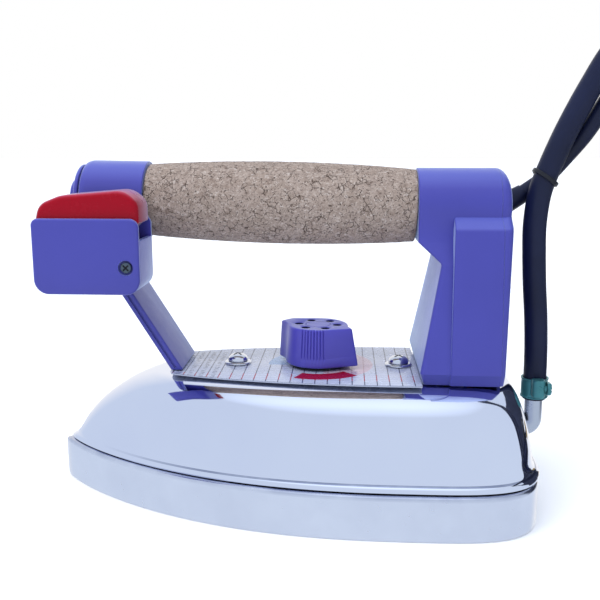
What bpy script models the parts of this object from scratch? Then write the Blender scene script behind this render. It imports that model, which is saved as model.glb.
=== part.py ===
"""A professional steam iron with a cork handle, as separate pieces.

Lengths are written in millimetres and angles in degrees, and the helper functions turn them into Blender's units.
The origin is on the sole's underside, below the middle of the handle. The tip points to -X, the iron's left
side (the thumb trigger's side) to -Y and up is +Z.
"""

import math

import bmesh
import bpy
from mathutils import Matrix, Vector

MM = 0.001
GAP = 0.3

# Soleplate.
SOLE_TIP, SOLE_WIDEST, SOLE_REAR, SOLE_HALF_WIDTH = -105.0, 62.0, 121.9, 64.4
SOLE_TOP = 20.0
CHAMBER_FLOOR = 9.0
CHAMBER_INSET = 27.0
ELEMENT_INSET, ELEMENT_RADIUS, ELEMENT_Z = 15.5, 4.0, 12.5
ELEMENT_FRONT, ELEMENT_REAR = -50.0, 92.0
ELEMENT_END_X, ELEMENT_END_Y = 106.5, 32.0
STEAM_HOLE_RADIUS = 1.5

# Chamber lid and its gasket.
GASKET_BOTTOM = SOLE_TOP + GAP
GASKET_TOP = GASKET_BOTTOM + 0.9
LID_BOTTOM = GASKET_TOP + GAP
LID_TOP = LID_BOTTOM + 2.6
LID_INSET = 22.0
LID_SCREWS = ((-10.0, -17.4), (-10.0, 17.4), (84.0, -22.0), (84.0, 22.0))

# Chromed cover: a lofted shell.
COVER_BOTTOM, COVER_TOP, COVER_WALL = SOLE_TOP + 0.6, 58.6, 1.0
COVER_LEVELS = (  # height, tip, half width, rear
    (20.6, -99.6, 59.4, 120.6), (27.0, -96.2, 58.0, 119.8), (34.0, -91.6, 56.0, 118.9), (41.0, -85.2, 53.0, 117.6),
    (47.1, -77.6, 49.5, 115.9), (52.0, -69.8, 45.0, 113.9), (55.3, -62.6, 40.1, 112.0), (57.4, -55.5, 34.9, 110.0),
    (58.6, -44.0, 27.0, 107.0),
)

# Instruction plate, with its two screws on the centre line.
PLATE_BOTTOM, PLATE_TOP = COVER_TOP + GAP, COVER_TOP + GAP + 0.7
PLATE_FRONT, PLATE_REAR = -47.5, 69.0
PLATE_SCREWS = (-17.5, 60.5)
PILLAR_RADIUS = 5.0

# Temperature knob on the thermostat's spindle.
KNOB_X = 21.6
KNOB_BOTTOM, KNOB_TOP = 61.4, 79.5
KNOB_RADIUS, KNOB_FLARE = 14.3, 1.4
KNOB_HOLE_CIRCLE = 9.3
SPINDLE_RADIUS = 3.0
THERMOSTAT_TOP = 37.0

# Handle axis: it drops a little towards the rear.
HANDLE_Z = 137.8
HANDLE_TILT = 1.05
GRIP_FRONT, GRIP_REAR = -58.0, 66.6
GRIP_END_RADIUS, GRIP_MID_RADIUS, GRIP_BORE = 16.6, 19.1, 6.5
BOSS_RADIUS = 18.0
BOSS_FRONT = -88.2
ROD_RADIUS = 4.0

# Inclined strap of the front support: its centre line in the XZ plane.
STRAP_TOP, STRAP_FOOT = (-84.65, 125.0), (-44.3, PLATE_TOP + GAP)
STRAP_THICKNESS, STRAP_WIDTH = 4.9, 33.0

# Switch box on the left of the front support.
BOX_LEFT, BOX_RIGHT, BOX_BOTTOM, BOX_TOP = -100.0, -53.5, 100.8, 133.6
BOX_FACE, BOX_JOINT, BOX_BACK = -44.0, -41.8, -18.6
BOX_WALL = 2.2
BOX_CORNERS = (6.5, 6.5, 4.0, 3.0)
COVER_SCREW_XZ = (-59.4, 112.7)
BOX_SCREW_XZ = (-81.2, 119.5)
PIVOT_X, PIVOT_Z = -93.5, 122.0
TRIGGER_FRONT_Y, TRIGGER_BACK_Y = -41.2, -21.2
PLUNGER_X, PLUNGER_Y = -71.0, -26.2
SPRING_X, SPRING_Y = -70.0, -36.4
TRIGGER_FLOOR = 125.4

# Rear tower: half widths and X limits at each height of the loft.
TOWER_BASE = COVER_TOP + GAP
COLLAR_RADIUS, COLLAR_Z = 17.9, 136.2
TOWER_SPLIT = 103.6
TOWER_WALL = 2.4
TOWER_SCREWS = ((77.8, -24.4), (77.8, 24.4))
REAR_SCREWS = ((105.0, -18.0, 92.0), (106.1, -11.0, 124.0))

# Steam pipe, hose and cable.
PIPE_X, PIPE_Z, PIPE_RADIUS = 126.0, 29.8, 4.2
PIPE_START, PIPE_BEND, PIPE_END = 92.0, 4.6, 44.0
BARB_RADIUS, BARB_END = 3.1, 57.0
HOSE_DIAMETER, CABLE_DIAMETER = 10.8, 7.8
HOSE_BORE = 3.5
CLAMP_BOTTOM, CLAMP_TOP = 45.3, 54.8
COIL_X, COIL_Y = 304.0, 32.0
HOSE_COIL_RADIUS, CABLE_COIL_RADIUS = 58.0, 39.0
FLOOR_GAP = 0.1

HOSE_ROUTE = (
    (126, 0, 44.3), (126, 0, 56), (125.7, 0, 70), (124.8, 0, 85), (123.4, 0, 100),
    (122.4, 0, 115), (122, 0, 128), (123.2, 0, 141), (125.6, 0, 149.8), (131.8, 0, 165.8),
    (137.4, 0, 178.2), (143.6, 0, 190.5), (151.6, 0, 204.6), (163.5, -0.6, 219.5), (179, -2.2, 228.8),
    (196, -4.8, 230.4), (212.5, -8.6, 225.5), (226.5, -12.8, 214), (234.8, -16.6, 198), (237, -20.5, 178),
    (235.6, -24, 155), (232.9, -26.9, 130), (229.5, -29.1, 105), (226.4, -30.7, 80), (226.1, -31.7, 55),
    (231.9, -32, 32), (244.5, -32, 15), (259, -32, 7.6), (262.2, -32, 6.6),
)
CABLE_ROUTE = (
    (125.8, 10.2, 147.4), (130.6, 9.8, 151.9), (136.8, 7.8, 159.8), (143.6, 4.6, 169.4), (150.2, 2.4, 181.2),
    (158.8, 1.4, 196.8), (170, 0.9, 210.8), (182.5, -0.8, 218.4), (195.6, -3.2, 219.8), (207.6, -6.3, 216),
    (218, -8.6, 207.4), (224.1, -12, 194), (226.1, -14.2, 176), (225, -16, 155), (222.7, -17.4, 130),
    (219.9, -18.1, 105), (218.4, -17.5, 84), (220.8, -15.8, 63), (228.9, -13.8, 45.5), (240, -12, 33),
    (257, -11, 27), (276, -11, 25.9),
)
CABLE_TAIL_START, CABLE_TAIL_RADIUS = -30.0, 31.5
TIE_PLACES = (8, 18)

HARDWARE_STEPS = 16
BODY_STEPS = 32


def metres(*lengths):
    return Vector([length * MM for length in lengths])


# ---------------------------------------------------------------- scene and materials


def clear_scene():
    for obj in list(bpy.data.objects):
        bpy.data.objects.remove(obj, do_unlink=True)


def new_collection(name):
    collection = bpy.data.collections.new(name)
    bpy.context.scene.collection.children.link(collection)
    return collection


def material(name, colour, roughness, metallic=0.0):
    made = bpy.data.materials.new(name)
    made.use_nodes = True
    shader = made.node_tree.nodes["Principled BSDF"]
    shader.inputs["Base Color"].default_value = (*colour, 1.0)
    shader.inputs["Roughness"].default_value = roughness
    shader.inputs["Metallic"].default_value = metallic
    return made


clear_scene()
PARTS = new_collection("steam_iron")
CUTTERS = new_collection("cutters")
VIOLET = (0.085, 0.085, 0.46)
FINISHES = {
    "aluminium": ((0.80, 0.81, 0.83), 0.25, 1.0),
    "chrome": ((0.86, 0.87, 0.90), 0.06, 1.0),
    "steel": ((0.62, 0.62, 0.63), 0.3, 1.0),
    "brass": ((0.72, 0.53, 0.25), 0.3, 1.0),
    "printed": ((0.72, 0.73, 0.78), 0.4, 0.3),
    "violet": (VIOLET, 0.38, 0.0),
    "red": ((0.50, 0.01, 0.03), 0.3, 0.0),
    "cork": ((0.48, 0.33, 0.21), 0.85, 0.0),
    "rubber": ((0.02, 0.02, 0.035), 0.6, 0.0),
    "black": ((0.02, 0.02, 0.02), 0.4, 0.0),
    "clamp": ((0.03, 0.22, 0.17), 0.4, 0.6),
    "ceramic": ((0.78, 0.74, 0.66), 0.6, 0.0),
    "fibre": ((0.75, 0.72, 0.66), 0.95, 0.0),
    "wire": ((0.45, 0.10, 0.03), 0.6, 0.0),
}


def finish_object(obj, finish):
    """Gives the object its own material, named for the node."""
    obj.data.materials.clear()
    obj.data.materials.append(material(obj.name, *FINISHES[finish]))
    return obj


def new_object(name, mesh, finish=None):
    """A part when it has a finish, else a cutter or a helper that the render leaves out."""
    obj = bpy.data.objects.new(name, mesh)
    if finish:
        PARTS.objects.link(obj)
        finish_object(obj, finish)
    else:
        CUTTERS.objects.link(obj)
        obj.hide_render = True
        obj.display_type = "WIRE"
    return obj


def smooth(obj, angle=40):
    obj.data.shade_smooth()
    obj.data.set_sharp_from_angle(angle=math.radians(angle))
    return obj


def mesh_from(build, name):
    """A mesh made by a function that fills a bmesh."""
    mesh = bpy.data.meshes.new(name)
    work = bmesh.new()
    build(work)
    bmesh.ops.recalc_face_normals(work, faces=work.faces)
    work.to_mesh(mesh)
    work.free()
    return mesh


# ---------------------------------------------------------------- shape helpers


def box(name, low, high, finish=None, bevel=0.0):
    low, high = metres(*low), metres(*high)

    def build(work):
        bmesh.ops.create_cube(work, size=1.0)
        bmesh.ops.scale(work, vec=high - low, verts=work.verts)
        bmesh.ops.translate(work, vec=(high + low) / 2, verts=work.verts)

    obj = new_object(name, mesh_from(build, name), finish)
    if bevel:
        edge = obj.modifiers.new("rounded", "BEVEL")
        edge.width = bevel * MM
        edge.segments = 2
        edge.limit_method = "ANGLE"
    return obj


def rod(name, start, end, radius, finish=None, end_radius=None, steps=HARDWARE_STEPS):
    """A straight cylinder or cone between two points."""
    start, end = metres(*start), metres(*end)
    along = end - start

    def build(work):
        bmesh.ops.create_cone(
            work, cap_ends=True, segments=steps, radius1=radius * MM,
            radius2=(radius if end_radius is None else end_radius) * MM, depth=along.length,
        )

    obj = new_object(name, mesh_from(build, name), finish)
    obj.location = (start + end) / 2
    obj.rotation_euler = along.to_track_quat("Z", "Y").to_euler()
    return smooth(obj)


def lathe(name, profile, finish=None, steps=BODY_STEPS, location=(0, 0, 0), axis=(0, 0, 1)):
    """A turned shape: (radius, height) points down its outer side, then up its bore if it has one."""
    mesh = bpy.data.meshes.new(name)
    points = [(radius * MM, 0, height * MM) for radius, height in profile]
    edges = [(i, i + 1) for i in range(len(points) - 1)]
    if profile[0][0] > 0:
        edges.append((len(points) - 1, 0))
    mesh.from_pydata(points, edges, [])
    obj = new_object(name, mesh, finish)
    turn = obj.modifiers.new("turned", "SCREW")
    turn.steps = turn.render_steps = steps
    turn.use_merge_vertices = True
    turn.merge_threshold = 1e-6
    turn.use_smooth_shade = True
    obj.location = metres(*location)
    obj.rotation_euler = Vector(axis).to_track_quat("Z", "Y").to_euler()
    return obj


def tube(name, points, diameter, finish=None, detail=3):
    """A round wire through points, as a closed mesh."""
    curve = bpy.data.curves.new(name, "CURVE")
    curve.dimensions = "3D"
    spline = curve.splines.new("POLY")
    spline.points.add(len(points) - 1)
    for target, point in zip(spline.points, points):
        target.co = (*metres(*point), 1)
    curve.bevel_depth = diameter / 2 * MM
    curve.bevel_resolution = detail
    curve.use_fill_caps = True
    return smooth(curve_to_mesh(name, curve, finish))


def curve_to_mesh(name, curve, finish):
    guide = bpy.data.objects.new(name + "_guide", curve)
    bpy.context.scene.collection.objects.link(guide)
    bpy.context.view_layer.update()
    mesh = bpy.data.meshes.new_from_object(guide.evaluated_get(bpy.context.evaluated_depsgraph_get()))
    bpy.data.objects.remove(guide)
    work = bmesh.new()
    work.from_mesh(mesh)
    bmesh.ops.remove_doubles(work, verts=work.verts, dist=1e-6)
    bmesh.ops.recalc_face_normals(work, faces=work.faces)
    work.to_mesh(mesh)
    work.free()
    return new_object(name, mesh, finish)


def slab(name, outline, low, high, finish=None, axis="Z", bevel=0.0):
    """A flat outline given thickness: in XY from low to high on Z, or in XZ from low to high on Y."""
    curve = bpy.data.curves.new(name, "CURVE")
    curve.dimensions = "2D"
    curve.fill_mode = "BOTH"
    curve.extrude = (high - low) / 2 * MM
    spline = curve.splines.new("POLY")
    spline.points.add(len(outline) - 1)
    for target, (across, up) in zip(spline.points, outline):
        target.co = (across * MM, up * MM, 0, 1)
    spline.use_cyclic_u = True
    obj = curve_to_mesh(name, curve, finish)
    middle = (low + high) / 2 * MM
    if axis == "Z":
        obj.data.transform(Matrix.Translation((0, 0, middle)))
    else:
        obj.data.transform(Matrix.Translation((0, middle, 0)) @ Matrix.Rotation(math.pi / 2, 4, "X"))
    if bevel:
        edge = obj.modifiers.new("rounded", "BEVEL")
        edge.width = bevel * MM
        edge.segments = 1
        edge.limit_method = "ANGLE"
        edge.angle_limit = math.radians(50)
    return smooth(obj)


def loft(name, rings, finish=None, capped=(True, True)):
    """A skin over rings of equally many points, each ring a list of (x, y, z)."""

    def build(work):
        loops = [[work.verts.new(metres(*point)) for point in ring] for ring in rings]
        for lower, upper in zip(loops, loops[1:]):
            for i in range(len(lower)):
                j = (i + 1) % len(lower)
                work.faces.new((lower[i], lower[j], upper[j], upper[i]))
        if capped[0]:
            work.faces.new(loops[0][::-1])
        if capped[1]:
            work.faces.new(loops[-1])

    return smooth(new_object(name, mesh_from(build, name), finish))


def combine(obj, others, operation="DIFFERENCE"):
    """Boolean modifiers, one for each cutter or helper."""
    for other in others:
        cut = obj.modifiers.new(other.name, "BOOLEAN")
        cut.operation = operation
        cut.object = other
        other.hide_render = True
        other.display_type = "WIRE"
    return obj


def parent_to(empty, *objects):
    for obj in objects:
        obj.parent = empty
    return objects[0]


def pivot(name, location, rotation=(0, 0, 0)):
    """An empty that holds a group's axis."""
    empty = bpy.data.objects.new(name, None)
    empty.location = metres(*location)
    empty.rotation_euler = [math.radians(angle) for angle in rotation]
    PARTS.objects.link(empty)
    return empty


# ---------------------------------------------------------------- outlines


def resampled(points, count):
    """The same polyline with evenly spaced points, both ends kept."""
    lengths = [0.0]
    for a, b in zip(points, points[1:]):
        lengths.append(lengths[-1] + math.dist(a, b))
    result, k = [], 0
    for i in range(count):
        wanted = lengths[-1] * i / (count - 1)
        while k < len(points) - 2 and lengths[k + 1] < wanted:
            k += 1
        part = (wanted - lengths[k]) / (lengths[k + 1] - lengths[k])
        result.append(tuple(a + (b - a) * part for a, b in zip(points[k], points[k + 1])))
    return result


def sole_shape(tip, widest, rear, half_width, front=(2.33, 0.85), back=(3.6, 0.2), count=25):
    """The closed outline of an iron: pointed at the tip, square with round corners at the rear."""
    dense = 200
    half = []
    for i in range(dense):
        u = 1 - i / dense
        half.append((widest - u * (widest - tip), half_width * (1 - u ** front[0]) ** front[1]))
    for i in range(dense + 1):
        angle = math.pi / 2 * i / dense
        along = math.sin(angle) ** (2 / back[0])
        half.append((widest + along * (rear - widest), half_width * math.cos(angle) ** (2 * back[1])))
    half[-1] = (rear, 0.0)
    half = resampled(half, count)
    return half + [(x, -y) for x, y in half[-2:0:-1]]


def inset_sole(inset, count=25):
    """The sole's outline moved inwards: the pointed tip moves back further than the sides."""
    return sole_shape(
        SOLE_TIP + 1.5 * inset, SOLE_WIDEST, SOLE_REAR - inset, SOLE_HALF_WIDTH - inset, count=count
    )


def round_corners(corners, radii, steps=4):
    """A polygon, anticlockwise, with each corner turned into an arc."""
    outline = []
    for i, (x, y) in enumerate(corners):
        before, after = corners[i - 1], corners[(i + 1) % len(corners)]
        here = Vector((x, y))
        into, out = (here - Vector(before)).normalized(), (Vector(after) - here).normalized()
        turn = into.angle_signed(out)
        if radii[i] == 0:
            outline.append((x, y))
            continue
        reach = radii[i] * math.tan(abs(turn) / 2)
        start = here - into * reach
        side = Vector((-into.y, into.x)) * (-1 if turn > 0 else 1)
        centre = start + side * radii[i]
        spoke = start - centre
        for k in range(steps + 1):
            outline.append(tuple(centre + Matrix.Rotation(-turn * k / steps, 2) @ spoke))
    return outline


def box_outline(inset=0.0):
    corners = (
        (BOX_LEFT + inset, BOX_BOTTOM + inset), (BOX_RIGHT - inset, BOX_BOTTOM + inset),
        (BOX_RIGHT - inset, BOX_TOP - inset), (BOX_LEFT + inset, BOX_TOP - inset),
    )
    return round_corners(corners, [radius - inset * 0.8 for radius in BOX_CORNERS])


def rounded_ring(front, rear, half_width, radii, z):
    """A rounded rectangle in plan: radii are those of the front and the rear corners."""
    front_r, rear_r = (min(radius, half_width * 0.95) for radius in radii)
    corners = ((front, -half_width), (rear, -half_width), (rear, half_width), (front, half_width))
    return [(x, y, z) for x, y in round_corners(corners, (front_r, rear_r, rear_r, front_r), 3)]


def smooth_route(points, spacing):
    """Evenly spaced points on a smooth curve through the route's own points."""
    points = [Vector(point) for point in points]
    ends = [2 * points[0] - points[1], *points, 2 * points[-1] - points[-2]]
    dense = []
    for p0, p1, p2, p3 in zip(ends, ends[1:], ends[2:], ends[3:]):
        for k in range(12):
            t = k / 12
            dense.append(
                0.5 * (2 * p1 + (p2 - p0) * t + (2 * p0 - 5 * p1 + 4 * p2 - p3) * t**2
                       + (3 * p1 - p0 - 3 * p2 + p3) * t**3)
            )
    dense.append(points[-1])
    length = sum((b - a).length for a, b in zip(dense, dense[1:]))
    return resampled([tuple(point) for point in dense], round(length / spacing) + 1)


# ---------------------------------------------------------------- sole and works


def element_path():
    """The heating element: round the sole inside its edge, and up at both rear ends."""
    half = [point for point in inset_sole(ELEMENT_INSET, 60)[:60] if point[1] >= 0]
    side = [point for point in half if ELEMENT_FRONT < point[0] < ELEMENT_REAR]
    side = resampled(side[::-1], 11)
    bend_x, bend_y = side[-1]
    nose = [
        (bend_x - bend_y * 0.75 * math.sin(angle), bend_y * math.cos(angle))
        for angle in [math.pi * k / 8 for k in range(1, 8)]
    ]
    corner = ((ELEMENT_END_X, ELEMENT_END_Y + 4), (ELEMENT_END_X - 1.5, ELEMENT_END_Y + 9),
              (100.0, side[0][1] - 2.5))
    side = list(corner) + side
    flat = side + nose + [(x, -y) for x, y in side[::-1]]
    rise = [(ELEMENT_END_X, ELEMENT_END_Y, z) for z in (34.0, 20.0, 15.5)]
    fall = [(x, -y, z) for x, y, z in rise[::-1]]
    return rise + [(x, y, ELEMENT_Z) for x, y in flat] + fall


def steam_hole_places():
    """Two rows that follow the sole's outline, and a short row on the centre line."""
    places = []
    for inset, count in ((33.0, 9), (44.0, 7)):
        half = [p for p in inset_sole(inset, 60)[:60] if p[1] > 3 and p[0] < 60]
        places += resampled(half, count)
    places = [(x, side * y) for x, y in places for side in (-1, 1)]
    return places + [(x, 0.0) for x in (-44.0, -26.0)]


def soleplate():
    levels = ((0.0, 1.0), (1.0, 0.0), (18.4, 0.0), (SOLE_TOP, 1.6))
    rings = [[(x, y, z) for x, y in inset_sole(inset)] for z, inset in levels]
    sole = loft("soleplate", rings, "aluminium")
    cutters = [slab("chamber_cut", inset_sole(CHAMBER_INSET), CHAMBER_FLOOR, SOLE_TOP + 5)]
    cutters.append(tube("element_cut", element_path(), 2 * ELEMENT_RADIUS + 0.7))
    for i, (x, y) in enumerate(steam_hole_places()):
        cutters.append(rod(f"steam_hole_{i}", (x, y, -2), (x, y, 14), STEAM_HOLE_RADIUS, steps=8))
    for i, (x, y) in enumerate(LID_SCREWS):
        column = rod(f"lid_column_{i}", (x, y, CHAMBER_FLOOR - 1), (x, y, SOLE_TOP), 3.5, steps=12)
        combine(cutters[0], [column])
        cutters.append(rod(f"lid_thread_{i}", (x, y, 11), (x, y, SOLE_TOP + 2), 1.8, steps=10))
    return combine(sole, cutters)


def heating_element():
    element = tube("heating_element", element_path(), 2 * ELEMENT_RADIUS, "steel", detail=3)
    x, y, z = element_path()[0]
    for side in (-1, 1):
        name = f"element_terminal_{side + 1}"
        terminal = rod(name, (x, side * y, z - 2), (x, side * y, z + 9), 1.5, steps=10)
        combine(element, [terminal], "UNION")


def chamber_lid():
    gasket = slab("chamber_gasket", inset_sole(LID_INSET), GASKET_BOTTOM, GASKET_TOP, "rubber")
    opening = slab("gasket_cut", inset_sole(CHAMBER_INSET + 1), GASKET_BOTTOM - 1, GASKET_TOP + 1)
    combine(gasket, [opening])
    lid = slab("steam_chamber_lid", inset_sole(LID_INSET), LID_BOTTOM, LID_TOP, "aluminium")
    inlet = rod("lid_inlet", (PIPE_START - 14, 0, LID_TOP - 1), (PIPE_START - 14, 0, 37), 7.5)
    holes = [rod("lid_inlet_bore", (PIPE_START - 14, 0, 10), (PIPE_START - 14, 0, 34), 2.6, steps=10)]
    holes.append(rod("lid_inlet_seat", (PIPE_START - 10, 0, PIPE_Z), (PIPE_START, 0, PIPE_Z), 4.3))
    for i, (x, y) in enumerate(LID_SCREWS):
        holes.append(rod(f"lid_hole_{i}", (x, y, 10), (x, y, 40), 2.0, steps=10))
    combine(lid, [inlet], "UNION")
    combine(lid, holes)
    for i, (x, y) in enumerate(LID_SCREWS):
        top = LID_TOP + GAP
        profile = ((0, 2.8), (2.6, 2.8), (3.0, 2.4), (3.0, 0), (1.5, 0), (1.5, -8.5), (0, -8.5))
        lathe(f"lid_screw_{i + 1}", profile, "steel", 10, (x, y, top))


def works():
    """What stands on the chamber lid, under the cover."""
    top = LID_TOP + GAP
    body = ((5.0, 8.2), (12.5, 8.2), (13.5, 7.2), (13.5, 0.6), (13.0, 0), (5.0, 0))
    lathe("thermostat_body", body, "ceramic", 20, (KNOB_X, 0, top + 0.4))
    shaft = ((0, 0), (SPINDLE_RADIUS, 0), (SPINDLE_RADIUS, -38.0), (4.4, -38.0), (4.4, -46.5), (0, -46.5))
    spindle = lathe("thermostat_spindle", shaft, "brass", 16, (KNOB_X, 0, 74.0))
    flat = box("spindle_flat", (KNOB_X - 5, -5, 64), (KNOB_X + 5, -2.2, 76))
    combine(spindle, [flat])
    for name, x in zip(("cover_pillar_front", "cover_pillar_rear"), PLATE_SCREWS):
        pillar = rod(name, (x, 0, top), (x, 0, COVER_TOP - COVER_WALL - GAP), PILLAR_RADIUS, "steel", steps=6)
        thread = rod(name + "_thread", (x, 0, 44), (x, 0, COVER_TOP), 1.9, steps=10)
        combine(pillar, [thread])
    insulation_blanket()


def insulation_blanket():
    low, high = 40.0, 45.0
    outline = sole_shape(-66, 50, 100, 40, front=(3.0, 0.6))
    blanket = slab("insulation_blanket", outline, low, high, "fibre")
    holes = [rod("blanket_spindle_hole", (KNOB_X, 0, low - 1), (KNOB_X, 0, high + 1), 6, steps=12)]
    for i, x in enumerate(PLATE_SCREWS):
        holes.append(rod(f"blanket_pillar_hole_{i}", (x, 0, low - 1), (x, 0, high + 1), 6, steps=12))
    holes.append(box("blanket_lead_gap", (76, -40, low - 1), (110, 40, high + 1)))
    combine(blanket, holes)


# ---------------------------------------------------------------- cover and plate


def cover_rings():
    """Sides that lean in more and more, over to a nearly flat top that is squarer at the front."""
    rings = []
    last = len(COVER_LEVELS) - 1
    for k, (z, tip, half_width, rear) in enumerate(COVER_LEVELS):
        share = k / last
        front = (2.33 + 1.17 * share, 0.85 - 0.35 * share)
        outline = sole_shape(tip, 62.0 - 22.0 * share, rear, half_width, front=front)
        rings.append([(x, y, z) for x, y in outline])
    return rings


def chromed_cover():
    cover = loft("chromed_cover", cover_rings(), "chrome", capped=(False, True))
    wall = cover.modifiers.new("pressed_sheet", "SOLIDIFY")
    wall.thickness = COVER_WALL * MM
    wall.offset = -1
    low, high = COVER_TOP - 4, COVER_TOP + 3
    holes = [rod("cover_spindle_hole", (KNOB_X, 0, low), (KNOB_X, 0, high), 5, steps=16)]
    for i, x in enumerate(PLATE_SCREWS):
        holes.append(rod(f"cover_screw_hole_{i}", (x, 0, low), (x, 0, high), 2.6, steps=12))
    for i, (x, y) in enumerate(TOWER_SCREWS):
        holes.append(rod(f"tower_screw_hole_{i}", (x, y, low), (x, y, high), 2.2, steps=10))
    holes.append(box("cover_lead_hole", (86, -9, low), (98, 9, high)))
    holes.append(rod("cover_pipe_hole", (108, 0, PIPE_Z), (124, 0, PIPE_Z), PIPE_RADIUS + 1.0))
    holes.append(rod("cover_leg_hole", *strap_line(-9, 5), 2.6, steps=10))
    return combine(cover, holes)


def plate_outline():
    """An ellipse's front part, cut square under the strap's foot and before the tower."""
    centre, length, half_width = 60.0, 130.0, 35.0
    xs = [PLATE_FRONT + 2.5 + (PLATE_REAR - PLATE_FRONT - 2.5) * (i / 12) ** 1.3 for i in range(13)]
    side = [(x, half_width * math.sqrt(1 - ((centre - x) / length) ** 2)) for x in xs]
    front = (PLATE_FRONT, side[0][1] - 4.0)
    side = [front] + side
    return side + [(x, -y) for x, y in side[::-1]]


def instruction_plate():
    plate = slab("instruction_plate", plate_outline(), PLATE_BOTTOM, PLATE_TOP, "printed")
    low, high = PLATE_BOTTOM - 2, PLATE_TOP + 2
    holes = [rod("plate_spindle_hole", (KNOB_X, 0, low), (KNOB_X, 0, high), 5, steps=16)]
    for i, x in enumerate(PLATE_SCREWS):
        holes.append(rod(f"plate_screw_hole_{i}", (x, 0, low), (x, 0, high), 2.6, steps=12))
    holes.append(rod("plate_leg_hole", *strap_line(-9, 5), 2.6, steps=10))
    combine(plate, holes)
    for where, x in zip(("front", "rear"), PLATE_SCREWS):
        washer = ((2.6, 1.0), (5.6, 1.0), (6.5, 0.4), (6.5, 0), (2.6, 0))
        lathe(f"plate_washer_{where}", washer, "chrome", 20, (x, 0, PLATE_TOP + GAP))
        dome = ((0, 3.4), (1.8, 3.2), (3.4, 2.4), (4.5, 1.2), (4.9, 0), (1.7, 0), (1.7, -12.0), (0, -12.0))
        screw = lathe(f"plate_screw_{where}", dome, "chrome", 20, (x, 0, PLATE_TOP + 1.0 + 2 * GAP))
        cross_recess(screw, (x, 0, PLATE_TOP + 5.0), (0, 0, 1), 2.4)


def cross_recess(screw, top, axis, reach, depth=1.6):
    """Two crossed slots in the screw's head."""
    slots = []
    for k in range(2):
        name = f"{screw.name}_slot_{k}"
        slot = box(name, (-reach, -0.45, -depth), (reach, 0.45, depth))
        slot.location = metres(*top)
        turned = Matrix.Rotation(math.pi * (0.25 + k / 2), 3, "Z")
        slot.rotation_euler = (Vector(axis).to_track_quat("Z", "Y").to_matrix() @ turned).to_euler()
        slots.append(slot)
    return combine(screw, slots)


# ---------------------------------------------------------------- knob


def knob_outline(flare, inset=0.0):
    """A circle with a pointer wing at the left rear and one at the right front, wider towards the base."""
    radius = KNOB_RADIUS + KNOB_FLARE * flare - inset

    def arc(start, end, count):
        angles = [math.radians(start + (end - start) * k / (count - 1)) for k in range(count)]
        return [(radius * math.cos(angle), radius * math.sin(angle)) for angle in angles]

    right_tip = (16.2 + 3.2 * flare - 1.2 * inset, -9.2 + 0.5 * inset)
    left_near = (-18.3 - 1.2 * flare + 1.2 * inset, 7.8 + 1.2 * flare)
    left_far = (-13.9 - 0.6 * flare + 0.7 * inset, 13.6 + 1.2 * flare - inset)
    crease = (-15.0 - 1.1 * flare + inset, 2.4 + 0.4 * flare)
    return [*arc(193, 283, 9), right_tip, *arc(-9, 95, 10), left_far, left_near, crease]


def control_knob():
    levels = ((KNOB_BOTTOM, 1.0, 0.0), (KNOB_TOP - 0.9, 0.05, 0.0), (KNOB_TOP, 0.0, 0.7))
    rings = [[(KNOB_X + x, y, z) for x, y in knob_outline(flare, inset)] for z, flare, inset in levels]
    knob = loft("temperature_knob", rings, "violet")
    cutters = [rod("knob_socket", (KNOB_X, 0, KNOB_BOTTOM - 2), (KNOB_X, 0, 74.6), SPINDLE_RADIUS + 0.25)]
    for k in range(6):
        angle = math.radians(60 * k)
        x, y = KNOB_X + KNOB_HOLE_CIRCLE * math.cos(angle), KNOB_HOLE_CIRCLE * math.sin(angle)
        cutters.append(rod(f"knob_hole_{k}", (x, y, KNOB_TOP - 3), (x, y, KNOB_TOP + 2), 1.7, steps=10))
    ring = ((6.4, 1), (6.4, -0.5), (5.8, -0.5), (5.8, 1))
    cutters.append(lathe("knob_ring_cut", ring, None, 20, (KNOB_X, 0, KNOB_TOP)))
    return combine(knob, cutters)


# ---------------------------------------------------------------- handle and front support


def strap_line(start, end):
    """Two points on the strap's centre line, measured up from its foot."""
    along = (Vector((STRAP_TOP[0], 0, STRAP_TOP[1])) - Vector((STRAP_FOOT[0], 0, STRAP_FOOT[1]))).normalized()
    foot = Vector((STRAP_FOOT[0], 0, STRAP_FOOT[1]))
    return tuple(foot + along * start), tuple(foot + along * end)


def strap_outline():
    along = Vector(STRAP_FOOT) - Vector(STRAP_TOP)
    half = STRAP_THICKNESS / 2 * along.length / abs(along.y)
    (top_x, top_z), (foot_x, foot_z) = STRAP_TOP, STRAP_FOOT
    return [(foot_x - half, foot_z), (foot_x + half, foot_z), (top_x + half, top_z), (top_x - half, top_z)]


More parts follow.
